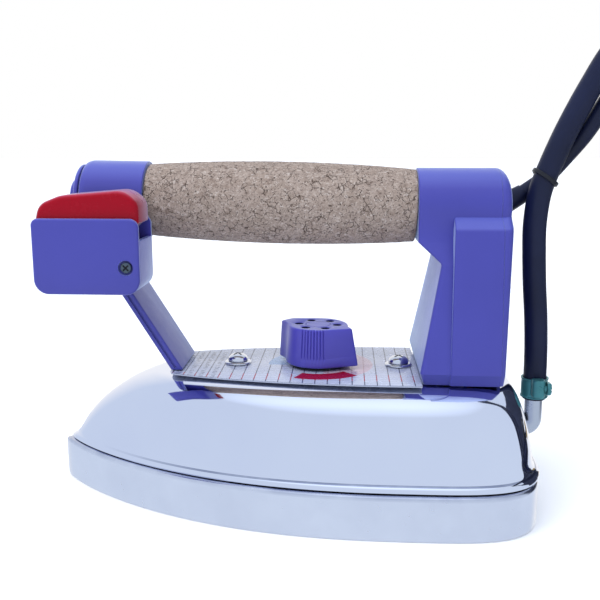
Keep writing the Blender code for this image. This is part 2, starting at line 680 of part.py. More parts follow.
def front_support(axis):
    strap = slab("front_support", strap_outline(), -STRAP_WIDTH / 2, STRAP_WIDTH / 2, "violet", "Y")
    rim = GRIP_FRONT - GAP
    profile = ((0, rim), (BOSS_RADIUS, rim), (BOSS_RADIUS, BOSS_FRONT + 3),
               (BOSS_RADIUS - 0.9, BOSS_FRONT + 0.9), (BOSS_RADIUS - 3, BOSS_FRONT), (0, BOSS_FRONT))
    boss = lathe("support_boss", profile, None, 32, (0, 0, 0), (1, 0, 0))
    parent_to(axis, boss)
    profile = ((0, GRIP_FRONT + 1), (ROD_RADIUS + 0.6, GRIP_FRONT + 1), (ROD_RADIUS + 0.6, BOSS_FRONT + 14),
               (8.9, BOSS_FRONT + 14), (8.9, BOSS_FRONT - 1), (0, BOSS_FRONT - 1))
    bore = lathe("support_bore", profile, None, 16, (0, 0, 0), (1, 0, 0))
    parent_to(axis, bore)
    grooves = []
    low, high = strap_line(1.5, 48)
    for side in (-1, 1):
        groove = slab(f"strap_groove_{side + 1}", groove_outline(low, high), -0.9, 0.9, None, "Y")
        groove.location.y = side * STRAP_WIDTH / 2 * MM
        grooves.append(groove)
    combine(strap, [boss], "UNION")
    x, z = BOX_SCREW_XZ
    threads = [rod("leg_thread", *strap_line(-2, 14), 1.5, steps=10)]
    threads.append(rod("box_thread", (x, -19, z), (x, -8, z), 1.75, steps=10))
    threads.append(rod("lead_passage", (-69, -17, 121), (-69, -8, 131), 1.8, steps=10))
    return combine(strap, [bore] + threads + grooves)


def groove_outline(low, high, half=0.7):
    bottom = [(low[0] - half, low[2]), (low[0] + half, low[2])]
    return bottom + [(high[0] + half, high[2]), (high[0] - half, high[2])]


def leg_screw():
    (x0, _, z0), (x1, _, z1) = strap_line(-6.5, 12)
    along = (x1 - x0, 0, z1 - z0)
    profile = ((0, 18.5), (1.2, 18.5), (1.2, 0), (3.1, 0), (3.1, -2.2), (0, -2.2))
    return lathe("front_support_screw", profile, "steel", 10, (x0, 0, z0), along)


def grip_radius(along):
    """Barrel shape: 0 at the front end, 1 at the rear end."""
    return GRIP_END_RADIUS + (GRIP_MID_RADIUS - GRIP_END_RADIUS) * math.sin(math.pi * along) ** 0.8


def handle(axis):
    count = 11
    length = GRIP_REAR - GRIP_FRONT
    outer = [(grip_radius(k / count), GRIP_FRONT + length * k / count) for k in range(count + 1)]
    grip = lathe("cork_grip", outer[::-1] + [(GRIP_BORE, GRIP_FRONT), (GRIP_BORE, GRIP_REAR)], "cork", 28,
                 (0, 0, 0), (1, 0, 0))
    tie_rod = rod("handle_tie_rod", (BOSS_FRONT + 4, 0, 0), (86, 0, 0), ROD_RADIUS, "steel", steps=12)
    front = (BOSS_FRONT + 6.2, BOSS_FRONT + 13.4)
    rear = (72.4, 79.6)
    nuts = []
    for name, (low, high) in (("tie_rod_nut_front", front), ("tie_rod_nut_rear", rear)):
        nut = rod(name, (low, 0, 0), (high, 0, 0), 7.4, "steel", steps=6)
        bore = rod(name + "_bore", (low - 1, 0, 0), (high + 1, 0, 0), ROD_RADIUS + 0.25, steps=12)
        combine(nut, [bore])
        parent_to(axis, bore)
        nuts.append(nut)
    profile = ((0, 4.4), (8.5, 4.4), (8.5, -GAP), (16.0, -GAP), (16.0, -1.7), (15.2, -2.5), (9.5, -2.5),
               (9.3, -5.4), (8.4, -6.3), (0, -6.3))
    cap = lathe("boss_end_cap", profile, "violet", 28, (BOSS_FRONT, 0, 0), (1, 0, 0))
    hollow = rod("end_cap_hollow", (BOSS_FRONT - 2, 0, 0), (BOSS_FRONT + 8, 0, 0), 6.4)
    combine(cap, [hollow])
    parent_to(axis, grip, tie_rod, cap, hollow, *nuts)


# ---------------------------------------------------------------- switch box


def switch_box():
    housing = slab("switch_box_housing", box_outline(), BOX_JOINT + GAP, BOX_BACK, "violet", "Y")
    inside = slab("box_inside", box_outline(BOX_WALL), BOX_JOINT - 1, BOX_BACK - BOX_WALL, None, "Y")
    low_x, low_z = COVER_SCREW_XZ
    column = rod("box_column", (low_x, BOX_JOINT + GAP, low_z), (low_x, BOX_BACK - 1, low_z), 3.4, steps=12)
    combine(inside, [column])
    low, high = (BOX_LEFT + 0.8, BOX_JOINT - 1, 124.6), (BOX_RIGHT + 2, BOX_BACK - BOX_WALL, 140)
    top_slot = box("box_top_slot", low, high)
    notch = box("box_notch", (-58, BOX_JOINT - 1, 124.0), (BOX_RIGHT + 2, BOX_BACK - BOX_WALL, 140))
    thread = rod("box_thread_hole", (low_x, BOX_JOINT - 2, low_z), (low_x, BOX_BACK - 4, low_z), 1.25, steps=10)
    low, high = (PIVOT_X, BOX_BACK - 4, PIVOT_Z), (PIVOT_X, BOX_BACK - 0.7, PIVOT_Z)
    pin_seat = rod("pin_seat", low, high, 1.8, steps=12)
    x, z = BOX_SCREW_XZ
    screw_hole = rod("box_screw_hole", (x, BOX_BACK - 5, z), (x, BOX_BACK + 2, z), 1.8, steps=12)
    lead_hole = rod("box_lead_hole", (-70.5, BOX_BACK - 4, 119.2), (-69, BOX_BACK + 2, 120.2), 2.4, steps=12)
    combine(housing, [inside, top_slot, notch, thread, pin_seat, screw_hole, lead_hole])
    switch_box_cover()
    screw = lathe("switch_box_screw", ((0, 2.2), (3.0, 2.2), (3.0, 0), (1.5, 0), (1.5, -9), (0, -9)),
                  "steel", 12, (x, BOX_BACK - BOX_WALL - GAP, z), (0, -1, 0))
    return screw


def switch_box_cover():
    cover = slab("switch_box_cover", box_outline(), BOX_FACE, BOX_JOINT, "violet", "Y", bevel=0.6)
    x, z = COVER_SCREW_XZ
    recess = rod("cover_recess", (x, BOX_FACE - 1, z), (x, BOX_FACE + 1.5, z), 3.3, steps=20)
    hole = rod("cover_screw_hole", (x, BOX_FACE, z), (x, BOX_JOINT + 1, z), 1.55, steps=12)
    low, high = (PIVOT_X, BOX_JOINT - 1.2, PIVOT_Z), (PIVOT_X, BOX_JOINT + 2, PIVOT_Z)
    pin_seat = rod("cover_pin_seat", low, high, 1.8, steps=12)
    combine(cover, [recess, hole, pin_seat])
    head = ((0, 1.0), (2.1, 1.0), (2.4, 0.7), (2.4, 0), (1.15, 0), (1.15, -12), (0, -12))
    screw = lathe("box_cover_screw", head, "black", 14, (x, BOX_FACE + 1.5 - GAP, z), (0, -1, 0))
    cross_recess(screw, (x, BOX_FACE + 0.2, z), (0, -1, 0), 1.6, 1.0)
    return cover


def trigger_outline():
    corners = (
        (-98.4, TRIGGER_FLOOR), (-62.0, TRIGGER_FLOOR), (-56.4, 130.4), (-54.0, 131.2), (-54.0, 140.2),
        (-59.6, 144.7), (-88.5, 142.0), (-97.6, 138.4), (-98.9, 132.0),
    )
    return round_corners(corners, (1.0, 2.0, 0, 0, 5.5, 4.5, 9.0, 4.5, 0), 3)


def steam_trigger():
    trigger = slab("steam_trigger", trigger_outline(), TRIGGER_FRONT_Y, TRIGGER_BACK_Y, "red", "Y", bevel=1.3)
    hub = rod("trigger_hub", (PIVOT_X, TRIGGER_FRONT_Y, PIVOT_Z), (PIVOT_X, TRIGGER_BACK_Y, PIVOT_Z), 4.2)
    low, high = (PIVOT_X - 3, TRIGGER_FRONT_Y + 0.5, PIVOT_Z), (PIVOT_X + 3, TRIGGER_BACK_Y - 0.5, 130)
    web = box("trigger_web", low, high)
    bore = rod("trigger_bore", (PIVOT_X, -50, PIVOT_Z), (PIVOT_X, -10, PIVOT_Z), 1.6, steps=20)
    combine(trigger, [hub, web], "UNION")
    combine(trigger, [bore])
    pin_ends = (PIVOT_X, BOX_JOINT - 0.8, PIVOT_Z), (PIVOT_X, BOX_BACK - 1.0, PIVOT_Z)
    rod("trigger_pivot_pin", *pin_ends, 1.5, "steel", steps=20)
    floor = BOX_BOTTOM + BOX_WALL + GAP
    turns, per_turn = 5, 9
    coil = []
    height = TRIGGER_FLOOR - GAP - floor - 1.0
    for k in range(turns * per_turn + 1):
        angle = 2 * math.pi * k / per_turn
        coil.append((SPRING_X + 3.2 * math.cos(angle), SPRING_Y + 3.2 * math.sin(angle),
                     floor + 0.5 + height * k / (turns * per_turn)))
    tube("trigger_spring", coil, 0.9, "steel", detail=0)


def microswitch():
    low = (PLUNGER_X - 17, PLUNGER_Y - 5.0, BOX_BOTTOM + BOX_WALL + GAP)
    high = (PLUNGER_X + 5, PLUNGER_Y + 5.0, 115.5)
    body = box("microswitch_body", low, high, "black", bevel=0.5)
    combine(body, [rod("plunger_bore", (PLUNGER_X, PLUNGER_Y, 107), (PLUNGER_X, PLUNGER_Y, 122), 2.2)])
    top = TRIGGER_FLOOR - GAP
    stem = ((0, top), (1.5, top), (1.9, top - 0.6), (1.9, 111.0), (0, 111.0))
    lathe("microswitch_plunger", stem, "red", 14, (PLUNGER_X, PLUNGER_Y, 0))


# ---------------------------------------------------------------- rear tower


def tower_levels():
    """(z, front x, rear x, half width, front corner radius, rear corner radius)"""
    levels = [
        (TOWER_BASE, 69.8, 105.4, 30.0, 2.0, 2.5),
        (64.5, 68.1, 105.6, 33.0, 2.0, 2.5),
        (88.0, 72.5, 106.4, 28.4, 2.0, 3.0),
        (112.5, 77.0, 107.3, 23.8, 2.0, 3.0),
        (121.5, 66.9, 107.7, 19.0, 1.5, 3.5),
        (129.0, 66.9, 108.2, COLLAR_RADIUS + 0.2, 1.5, 4.0),
    ]
    for angle, pull in ((0, 0), (25, 0.2), (45, 0.9), (62, 2.2), (76, 3.8), (84, 5.4)):
        turn = math.radians(angle)
        levels.append((COLLAR_Z + COLLAR_RADIUS * math.sin(turn), 66.9, 108.6 - pull,
                       COLLAR_RADIUS * math.cos(turn), 1.2, 4.0))
    return levels


def panel_levels():
    """The raised side panels, which end in a sloping top."""
    return [
        (TOWER_BASE, 81.4, 105.4, 31.4, 1.0, 2.5),
        (64.5, 81.4, 105.6, 33.9, 1.0, 2.5),
        (127.5, 82.4, 108.0, 25.2, 1.0, 3.0),
        (128.6, 82.4, 108.1, 24.2, 1.0, 3.0),
        (133.4, 82.6, 108.3, 17.0, 1.0, 3.0),
    ]


def tower_skin(name, levels, inset=0.0, finish=None):
    rings = []
    for z, front, rear, half, front_r, rear_r in levels:
        radii = (max(front_r - inset, 0.6), max(rear_r - inset, 0.6))
        rings.append(rounded_ring(front + inset, rear - inset, max(half - inset, 1.2), radii, z))
    return loft(name, rings, finish)


def tower_inside():
    """The hollow, open at the base and towards the rear cover."""
    levels = []
    for z, front, rear, *rest in tower_levels()[:10]:
        drop = 3 if z == TOWER_BASE else 1.6 if z > COLLAR_Z else 0
        levels.append((z - drop, front, rear + 20, *rest))
    return tower_skin("tower_inside", levels, TOWER_WALL)


def rear_tower(axis):
    tower = tower_skin("rear_tower_housing", tower_levels(), finish="violet")
    panels = tower_skin("tower_panels", panel_levels())
    combine(tower, [panels], "UNION")
    behind = box("tower_split_cut", (TOWER_SPLIT, -60, 40), (140, 60, 170))
    columns = []
    for i, (x, y) in enumerate(TOWER_SCREWS):
        columns.append(rod(f"tower_column_{i}", (x, y, TOWER_BASE), (x, y, 80), 4.6, steps=12))
    for i, (_, y, z) in enumerate(REAR_SCREWS):
        side = 28 - 0.3 * (z - 92)
        columns.append(box(f"rear_screw_rib_{i}", (97, -side, z - 3), (TOWER_SPLIT + 1, y + 3.5, z + 3)))
    inside = tower_inside()
    combine(inside, columns)
    cuts = [inside, behind]
    for i, (_, y, z) in enumerate(REAR_SCREWS):
        cuts.append(rod(f"rear_screw_thread_{i}", (96, y, z), (TOWER_SPLIT + 2, y, z), 1.5, steps=10))
    for i, (x, y) in enumerate(TOWER_SCREWS):
        cuts.append(rod(f"tower_thread_{i}", (x, y, TOWER_BASE - 2), (x, y, 76), 1.6, steps=10))
    rod_hole = rod("tower_rod_hole", (60, 0, 0), (72, 0, 0), ROD_RADIUS + 0.5)
    parent_to(axis, rod_hole)
    combine(tower, cuts + [rod_hole])
    for name, (x, y) in zip(("tower_screw_left", "tower_screw_right"), TOWER_SCREWS):
        profile = ((0, 16), (1.3, 16), (1.3, 0), (3.4, 0), (3.4, -2.2), (0, -2.2))
        lathe(name, profile, "steel", 10, (x, y, COVER_TOP - COVER_WALL - GAP))
    rear_tower_cover()


def rear_tower_cover():
    skin = tower_skin("rear_tower_cover", tower_levels(), finish="violet")
    panels = tower_skin("rear_cover_panels", panel_levels())
    combine(skin, [panels], "UNION")
    front = box("rear_cover_split_cut", (40, -60, 40), (TOWER_SPLIT + GAP, 60, 170))
    cuts = [front, rod("sleeve_hole", *sleeve_line(-14, 8), CABLE_DIAMETER / 2 + 1.3)]
    for i, (x, y, z) in enumerate(REAR_SCREWS):
        well = ((3.4, 8), (3.4, 0), (1.75, 0), (1.75, -8), (0, -8))
        cuts.append(lathe(f"rear_screw_well_{i}", ((0, 8), *well), None, 16, (x, y, z), (1, 0, 0)))
    combine(skin, cuts)
    for i, (x, y, z) in enumerate(REAR_SCREWS):
        head = ((0, 1.0), (2.2, 1.0), (2.8, 0.6), (2.8, 0), (1.3, 0), (1.3, -7), (0, -7))
        screw = lathe(f"rear_cover_screw_{i + 1}", head, "steel", 14, (x + 0.15, y, z), (1, 0, 0))
        cross_recess(screw, (x + 1.2, y, z), (1, 0, 0), 1.7, 0.7)


def terminal_block():
    block = box("terminal_block", (84, -15, 84), (96, 15, 100), "ceramic", bevel=0.8)
    holes = []
    for i, y in enumerate((-9.5, 0, 9.5)):
        holes.append(rod(f"terminal_hole_{i}", (82, y, 92), (98, y, 92), 2.3, steps=10))
        holes.append(rod(f"terminal_screw_well_{i}", (90, y, 93), (90, y, 103), 1.9, steps=10))
    return combine(block, holes)


def leads():
    """Inner wiring: two leads from the element to the terminal block, and one from the microswitch."""
    x, y, z = element_path()[0]
    for name, side in (("element_lead_left", -1), ("element_lead_right", 1)):
        route = ((x - 2.9, side * y, 38.0), (x - 5, side * (y - 4), 42), (x - 9, side * 20, 48),
                 (x - 12, side * 9, 54), (x - 13, side * 6.2, 60), (x - 12.5, side * 6.6, 70),
                 (x - 8, side * 8.6, 80), (x - 5.4, side * 9.5, 87), (x - 7, side * 9.5, 91.2),
                 (x - 13, side * 9.5, 92))
        tube(name, smooth_route(route, 5.0), 2.4, "wire", detail=0)
    route = ((-76, -27, 116.4), (-75.6, -25.6, 118.0), (-72.5, -23, 118.6), (-70, -20, 119.4),
             (-69.1, -17, 121.6), (-69, -13.8, 124.6), (-69, -10.6, 128.0))
    return tube("microswitch_lead", smooth_route(route, 3.0), 2.6, "wire", detail=0)


# ---------------------------------------------------------------- steam pipe, clamp, hose and cable


def steam_pipe():
    turn = PIPE_X - PIPE_BEND
    route = [(PIPE_START - 9.5, 0, PIPE_Z), (PIPE_START + 6, 0, PIPE_Z), (turn, 0, PIPE_Z)]
    for k in range(1, 6):
        angle = math.pi / 2 * k / 5
        route.append((turn + PIPE_BEND * math.sin(angle), 0, PIPE_Z + PIPE_BEND * (1 - math.cos(angle))))
    route.append((PIPE_X, 0, PIPE_END))
    pipe = tube("steam_inlet_pipe", route, 2 * PIPE_RADIUS, "steel", detail=2)
    profile = ((2.2, BARB_END), (2.7, BARB_END), (BARB_RADIUS, BARB_END - 3), (2.6, BARB_END - 3.2),
               (2.6, BARB_END - 6), (BARB_RADIUS, BARB_END - 9), (2.6, BARB_END - 9.2), (2.6, PIPE_END - 1),
               (2.2, PIPE_END - 1))
    barb = lathe("pipe_barb", profile, None, 16, (PIPE_X, 0, 0))
    combine(pipe, [barb], "UNION")


def hose_clamp():
    """A worm-drive clamp: the band, its screw housing on the left side and the screw along X."""
    low, high = CLAMP_BOTTOM, CLAMP_TOP
    band = lathe("hose_clamp", ((0, high), (6.5, high), (6.5, low), (0, low)), "clamp", 24, (PIPE_X, 0, 0))
    housing = box("clamp_housing", (PIPE_X - 3.1, -11.2, low + 2), (PIPE_X + 3.0, -4.8, high + 1), bevel=0.8)
    combine(band, [housing], "UNION")
    bore = rod("clamp_bore", (PIPE_X, 0, low - 4), (PIPE_X, 0, high + 4), HOSE_DIAMETER / 2 + GAP, steps=24)
    middle = (low + high) / 2 + 1.6
    across = -8.8
    screw_hole = rod("clamp_screw_hole", (PIPE_X - 2.6, across, middle), (PIPE_X + 5, across, middle), 1.9)
    combine(band, [bore, screw_hole])
    profile = ((0, 5.7), (2.9, 5.7), (3.3, 5.3), (3.3, 3.6), (1.6, 3.6), (1.6, -2.0), (0, -2.0))
    screw = lathe("hose_clamp_screw", profile, "clamp", 6, (PIPE_X, across, middle), (1, 0, 0))
    low, high = (PIPE_X + 4.9, across - 5, middle - 0.5), (PIPE_X + 7, across + 5, middle + 0.5)
    slot = box("clamp_screw_slot", low, high)
    combine(screw, [slot])


def sleeve_line(start, end):
    """Two points on the cable's line out of the tower, measured from the rear cover's face."""
    exit_point, along = Vector((108.5, 9.0, 136.4)), Vector((0.857, 0.02, 0.515)).normalized()
    return tuple(exit_point + along * start), tuple(exit_point + along * end)


def strain_relief():
    """A slim tapered sleeve with a neck that sits in the rear cover's hole."""
    (x0, y0, z0), (x1, y1, z1) = sleeve_line(0, 1)
    bore = CABLE_DIAMETER / 2 + 0.35
    profile = ((bore, 11.0), (bore + 0.35, 11.0), (bore + 0.5, 8.0), (bore + 0.7, 1.8), (bore + 0.6, 1.2),
               (bore + 0.6, -9.5), (bore, -9.5))
    lathe("cable_strain_relief", profile, "black", 16, (x0, y0, z0), (x1 - x0, y1 - y0, z1 - z0))


def cable_path():
    """Straight through the strain relief, then along the route."""
    return [sleeve_line(0, at)[1] for at in (-8, 2, 12)] + list(CABLE_ROUTE)


def cords():
    hose = tube("steam_hose", smooth_route(HOSE_ROUTE, 11.5), HOSE_DIAMETER, "rubber", detail=4)
    bore = rod("hose_bore", (PIPE_X, 0, PIPE_END - 4), (PIPE_X, 0, BARB_END + 1.5), HOSE_BORE)
    combine(hose, [bore])
    tube("power_cable", smooth_route(cable_path(), 10.0), CABLE_DIAMETER, "rubber", detail=3)
    coil_ring("hose_coil", HOSE_COIL_RADIUS, HOSE_DIAMETER, 2, 2, 28)
    coil_ring("cable_coil", CABLE_COIL_RADIUS, CABLE_DIAMETER, 2, 3, 24)


def coil_ring(name, radius, diameter, across, layers, steps):
    """The outer shape of a coil of cord that lies on the table."""
    low, high = FLOOR_GAP, FLOOR_GAP + layers * diameter
    inner, outer = radius - across * diameter / 2, radius + across * diameter / 2
    soft = diameter * 0.3
    profile = ((inner + soft, high), (outer - soft, high), (outer, high - soft), (outer, low + soft),
               (outer - soft, low), (inner + soft, low), (inner, low + soft), (inner, high - soft))
    lathe(name, profile, "rubber", steps, (COIL_X, COIL_Y, 0))


def tail_route():
    """The cable's last stretch: off the coil, then a left turn on top of it to the plug."""
    top = FLOOR_GAP + 3 * CABLE_DIAMETER + CABLE_DIAMETER / 2 + GAP
    leave = math.radians(CABLE_TAIL_START)
    radius = CABLE_COIL_RADIUS - CABLE_DIAMETER / 2
    x, y = COIL_X + radius * math.cos(leave), COIL_Y + radius * math.sin(leave)
    heading = leave + math.pi / 2
    centre = (x - CABLE_TAIL_RADIUS * math.sin(heading), y + CABLE_TAIL_RADIUS * math.cos(heading))
    route = []
    for k in range(9):
        turn = heading + (math.pi - heading) * k / 8
        across, back = CABLE_TAIL_RADIUS * math.sin(turn), CABLE_TAIL_RADIUS * math.cos(turn)
        route.append((centre[0] + across, centre[1] - back, top + 3.4 * (k / 8) ** 2))
    return route


def plug_and_fitting():
    tail = tail_route()
    tube("cable_tail", tail, CABLE_DIAMETER, "rubber", detail=2)
    x, y, z = tail[-1]
    tilt = math.radians(12)
    facing = (-math.cos(tilt), 0, math.sin(tilt))
    body = ((0, 52), (16.4, 52), (17.0, 51.4), (17.0, 40), (14.5, 36), (12.2, 30), (11.0, 22), (9.0, 14),
            (6.6, 2), (6.0, 0), (0, 0))
    plug = lathe("mains_plug", body, "black", 24, (x - GAP - 0.4, y, z), facing)
    pins = []
    for side in (-1, 1):
        start = Vector((x - 1, y + side * 9.5, z)) + Vector(facing) * 48
        end = start + Vector(facing) * 23
        pins.append(rod(f"plug_pin_{side + 1}", tuple(start), tuple(end), 2.4, steps=10))
    combine(plug, pins, "UNION")
    outer_turn = HOSE_COIL_RADIUS + HOSE_DIAMETER / 2
    start_x = COIL_X - 50
    nut = ((0, 0), (6.8, 0), (6.8, 10), (9.0, 11), (9.0, 14), (12.0, 14), (12.0, 30), (10.0, 31), (10.0, 33),
           (6.0, 33), (6.0, 26), (0, 26))
    lathe("hose_fitting", nut[::-1], "brass", 18, (start_x, COIL_Y + outer_turn, 12.2), (-1, 0, 0))


def cable_ties():
    """Each tie is a flat band round the hose and the cable together."""
    hose = [Vector(p) for p in HOSE_ROUTE]
    cable = [Vector(p) for p in smooth_route(cable_path(), 1.0)]
    for name, index in zip(("cable_tie_front", "cable_tie_rear"), TIE_PLACES):
        centre = hose[index]
        near = min(range(1, len(cable) - 1), key=lambda k: (cable[k] - centre).length)
        cable_along = (cable[near + 1] - cable[near - 1]).normalized()
        along = ((hose[index + 1] - hose[index - 1]).normalized() + cable_along).normalized()
        across = cable[near] - centre
        across -= along * across.dot(along)
        reach = across.length
        tie_band(name, centre, along, across.normalized(), reach)


def tie_band(name, centre, along, across, reach, width=2.0, thickness=1.1):
    """A stadium-shaped band: round the hose on one side and round the cable on the other."""
    hose_r, cable_r = HOSE_DIAMETER / 2 + 0.7, CABLE_DIAMETER / 2 + 0.8
    lean = math.asin((hose_r - cable_r) / reach)

    def loop(extra):
        points = []
        for k in range(9):
            angle = math.pi / 2 - lean + (math.pi + 2 * lean) * k / 8
            points.append(((hose_r + extra) * math.cos(angle), (hose_r + extra) * math.sin(angle)))
        for k in range(7):
            angle = -math.pi / 2 - lean + (math.pi + 2 * lean) * k / 6
            points.append((reach + (cable_r + extra) * math.cos(angle), (cable_r + extra) * math.sin(angle)))
        return points

    band = slab(name, loop(thickness), -width / 2, width / 2, "black")
    hole = slab(name + "_hole", loop(0.0), -width, width)
    side = along.cross(across)
    frame = Matrix((across, side, along)).transposed().to_4x4()
    frame.translation = centre * MM
    for obj in (band, hole):
        obj.matrix_world = frame
    combine(band, [hole])


# ---------------------------------------------------------------- assembly


def main():
    handle_axis = pivot("handle_axis", (0, 0, HANDLE_Z), (0, HANDLE_TILT, 0))
    soleplate()
    heating_element()
    chamber_lid()
    works()
    chromed_cover()
    instruction_plate()
    control_knob()
    front_support(handle_axis)
    leg_screw()
    handle(handle_axis)
    switch_box()
    steam_trigger()
    microswitch()
    rear_tower(handle_axis)
    terminal_block()
    leads()
    steam_pipe()
    hose_clamp()
    strain_relief()
    cords()
    plug_and_fitting()
    cable_ties()
    bpy.context.view_layer.update()


main()
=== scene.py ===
"""The looks of a professional steam iron with a cork handle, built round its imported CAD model.

Lengths are in millimetres unless a comment says otherwise, in the frame of the model: the tip points to -X,
the trigger's side is -Y and up is +Z. Each piece is made where it stands and then rides on its body.
"""

import math

import bmesh
import bpy
from mathutils import Matrix, Vector, noise


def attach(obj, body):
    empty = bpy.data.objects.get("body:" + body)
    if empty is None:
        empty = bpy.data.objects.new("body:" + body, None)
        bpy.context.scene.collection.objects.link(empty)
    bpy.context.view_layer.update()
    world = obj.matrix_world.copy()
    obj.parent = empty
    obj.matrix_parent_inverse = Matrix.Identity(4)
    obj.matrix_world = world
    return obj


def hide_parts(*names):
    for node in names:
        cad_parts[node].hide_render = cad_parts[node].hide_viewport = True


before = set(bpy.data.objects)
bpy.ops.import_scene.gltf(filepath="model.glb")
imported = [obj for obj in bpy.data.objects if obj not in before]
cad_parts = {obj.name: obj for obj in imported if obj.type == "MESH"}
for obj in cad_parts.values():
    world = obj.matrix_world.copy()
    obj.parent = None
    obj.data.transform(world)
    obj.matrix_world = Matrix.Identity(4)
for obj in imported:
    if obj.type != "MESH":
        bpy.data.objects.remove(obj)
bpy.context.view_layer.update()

MM = 0.001
GAP = 0.3  # the clearance between touching pieces

# ---------------------------------------------------------------- dimensions shared with the model

SIDE_CURVE, REAR_CURVE = (2.33, 0.85), (3.6, 0.2)  # the powers that bow the sides and square the rear
SOLE_TIP, SOLE_WIDEST, SOLE_REAR, SOLE_HALF_WIDTH, SOLE_TOP = -105.0, 62.0, 121.9, 64.4, 20.0
COVER_BOTTOM, COVER_TOP = 20.6, 58.6
COVER_LEVELS = (  # height, tip, half width, rear
    (20.6, -99.6, 59.4, 120.6), (27.0, -96.2, 58.0, 119.8), (34.0, -91.6, 56.0, 118.9),
    (41.0, -85.2, 53.0, 117.6), (47.1, -77.6, 49.5, 115.9), (52.0, -69.8, 45.0, 113.9),
    (55.3, -62.6, 40.1, 112.0), (57.4, -55.5, 34.9, 110.0), (58.6, -44.0, 27.0, 107.0),
)
PLATE_BOTTOM, PLATE_TOP, PLATE_FRONT, PLATE_REAR = 58.9, 59.6, -47.5, 69.0
PLATE_CENTRE, PLATE_LENGTH, PLATE_HALF_WIDTH = 60.0, 130.0, 35.0  # its sides are arcs of this ellipse
PLATE_SCREWS = (-17.5, 60.5)
KNOB_X, KNOB_BOTTOM, KNOB_TOP, KNOB_RADIUS, KNOB_FLARE = 21.6, 61.4, 79.5, 14.3, 1.4
HANDLE_Z, HANDLE_TILT = 137.8, 1.05
GRIP_FRONT, GRIP_REAR, GRIP_END_RADIUS, GRIP_MID_RADIUS = -58.0, 66.6, 16.6, 19.1
BOSS_RADIUS, BOSS_FRONT = 18.0, -88.2
STRAP_TOP, STRAP_FOOT = (-84.65, 125.0), (-44.3, 59.9)
STRAP_THICKNESS, STRAP_WIDTH = 4.9, 33.0
BOX_LEFT, BOX_RIGHT, BOX_BOTTOM, BOX_TOP = -100.0, -53.5, 100.8, 133.6
BOX_FACE, BOX_JOINT, BOX_BACK = -44.0, -41.8, -18.6
COVER_SCREW = (-59.4, 112.7)
PIVOT_X, PIVOT_Z = -93.5, 122.0
TRIGGER_FRONT_Y, TRIGGER_BACK_Y, TRIGGER_FLOOR = -41.2, -21.2, 125.4
TOWER_BASE, COLLAR_RADIUS, COLLAR_Z, TOWER_SPLIT = 58.9, 17.9, 136.2, 103.6
REAR_SCREWS = ((105.0, -18.0, 92.0), (106.1, -11.0, 124.0))
PIPE_X, PIPE_Z, PIPE_RADIUS, PIPE_END = 126.0, 29.8, 4.2, 44.0
CLAMP_BOTTOM, CLAMP_TOP = 45.3, 54.8
HOSE_DIAMETER, CABLE_DIAMETER = 10.8, 7.8
COIL_X, COIL_Y = 304.0, 32.0
CAMERA_PLACE, CAMERA_YAW, CAMERA_PITCH = (34.2, -379.7, 164.5), 0.0563, 0.1904
CAMERA_LENS, SENSOR_WIDTH = 48.34, 36.0

# ---------------------------------------------------------------- camera


def link(obj):
    bpy.context.scene.collection.objects.link(obj)
    return obj


def make_camera():
    level = math.cos(CAMERA_PITCH)
    view = Vector((-math.sin(CAMERA_YAW) * level, math.cos(CAMERA_YAW) * level, -math.sin(CAMERA_PITCH)))
    data = bpy.data.cameras.new("camera")
    data.lens, data.sensor_width = CAMERA_LENS, SENSOR_WIDTH
    data.clip_start, data.clip_end = 0.01, 50.0
    camera = link(bpy.data.objects.new("camera", data))
    camera.location = Vector(CAMERA_PLACE) * MM
    camera.rotation_euler = view.to_track_quat("-Z", "Y").to_euler()
    bpy.context.scene.camera = camera


make_camera()

# ---------------------------------------------------------------- material helpers


class Value:
    """A socket that takes part in arithmetic by adding Math nodes."""

    def __init__(self, look, socket):
        self.look, self.socket = look, socket

    def math(self, operation, *others):
        node = self.look.node("ShaderNodeMath", operation=operation)
        for target, value in zip(node.inputs, (self, *others)):
            self.look.feed(target, value)
        return Value(self.look, node.outputs[0])

    def __add__(self, other):
        return self.math("ADD", other)

    def __sub__(self, other):
        return self.math("SUBTRACT", other)

    def __mul__(self, other):
        return self.math("MULTIPLY", other)

    def __truediv__(self, other):
        return self.math("DIVIDE", other)

    def above(self, limit):
        return self.math("GREATER_THAN", limit)

    def below(self, limit):
        return self.math("LESS_THAN", limit)

    def between(self, low, high):
        return self.above(low) * self.below(high)

    def ramp(self, low, high, to_low=0.0, to_high=1.0):
        node = self.look.node("ShaderNodeMapRange", clamp=True)
        names = ("Value", "From Min", "From Max", "To Min", "To Max")
        for name, value in zip(names, (self, low, high, to_low, to_high)):
            self.look.feed(node.inputs[name], value)
        return Value(self.look, node.outputs[0])

    def lines(self, pitch, width, offset=0.0):
        """1 on thin lines that repeat every pitch, 0 between them."""
        return ((self + offset).math("PINGPONG", pitch / 2)).below(width / 2)


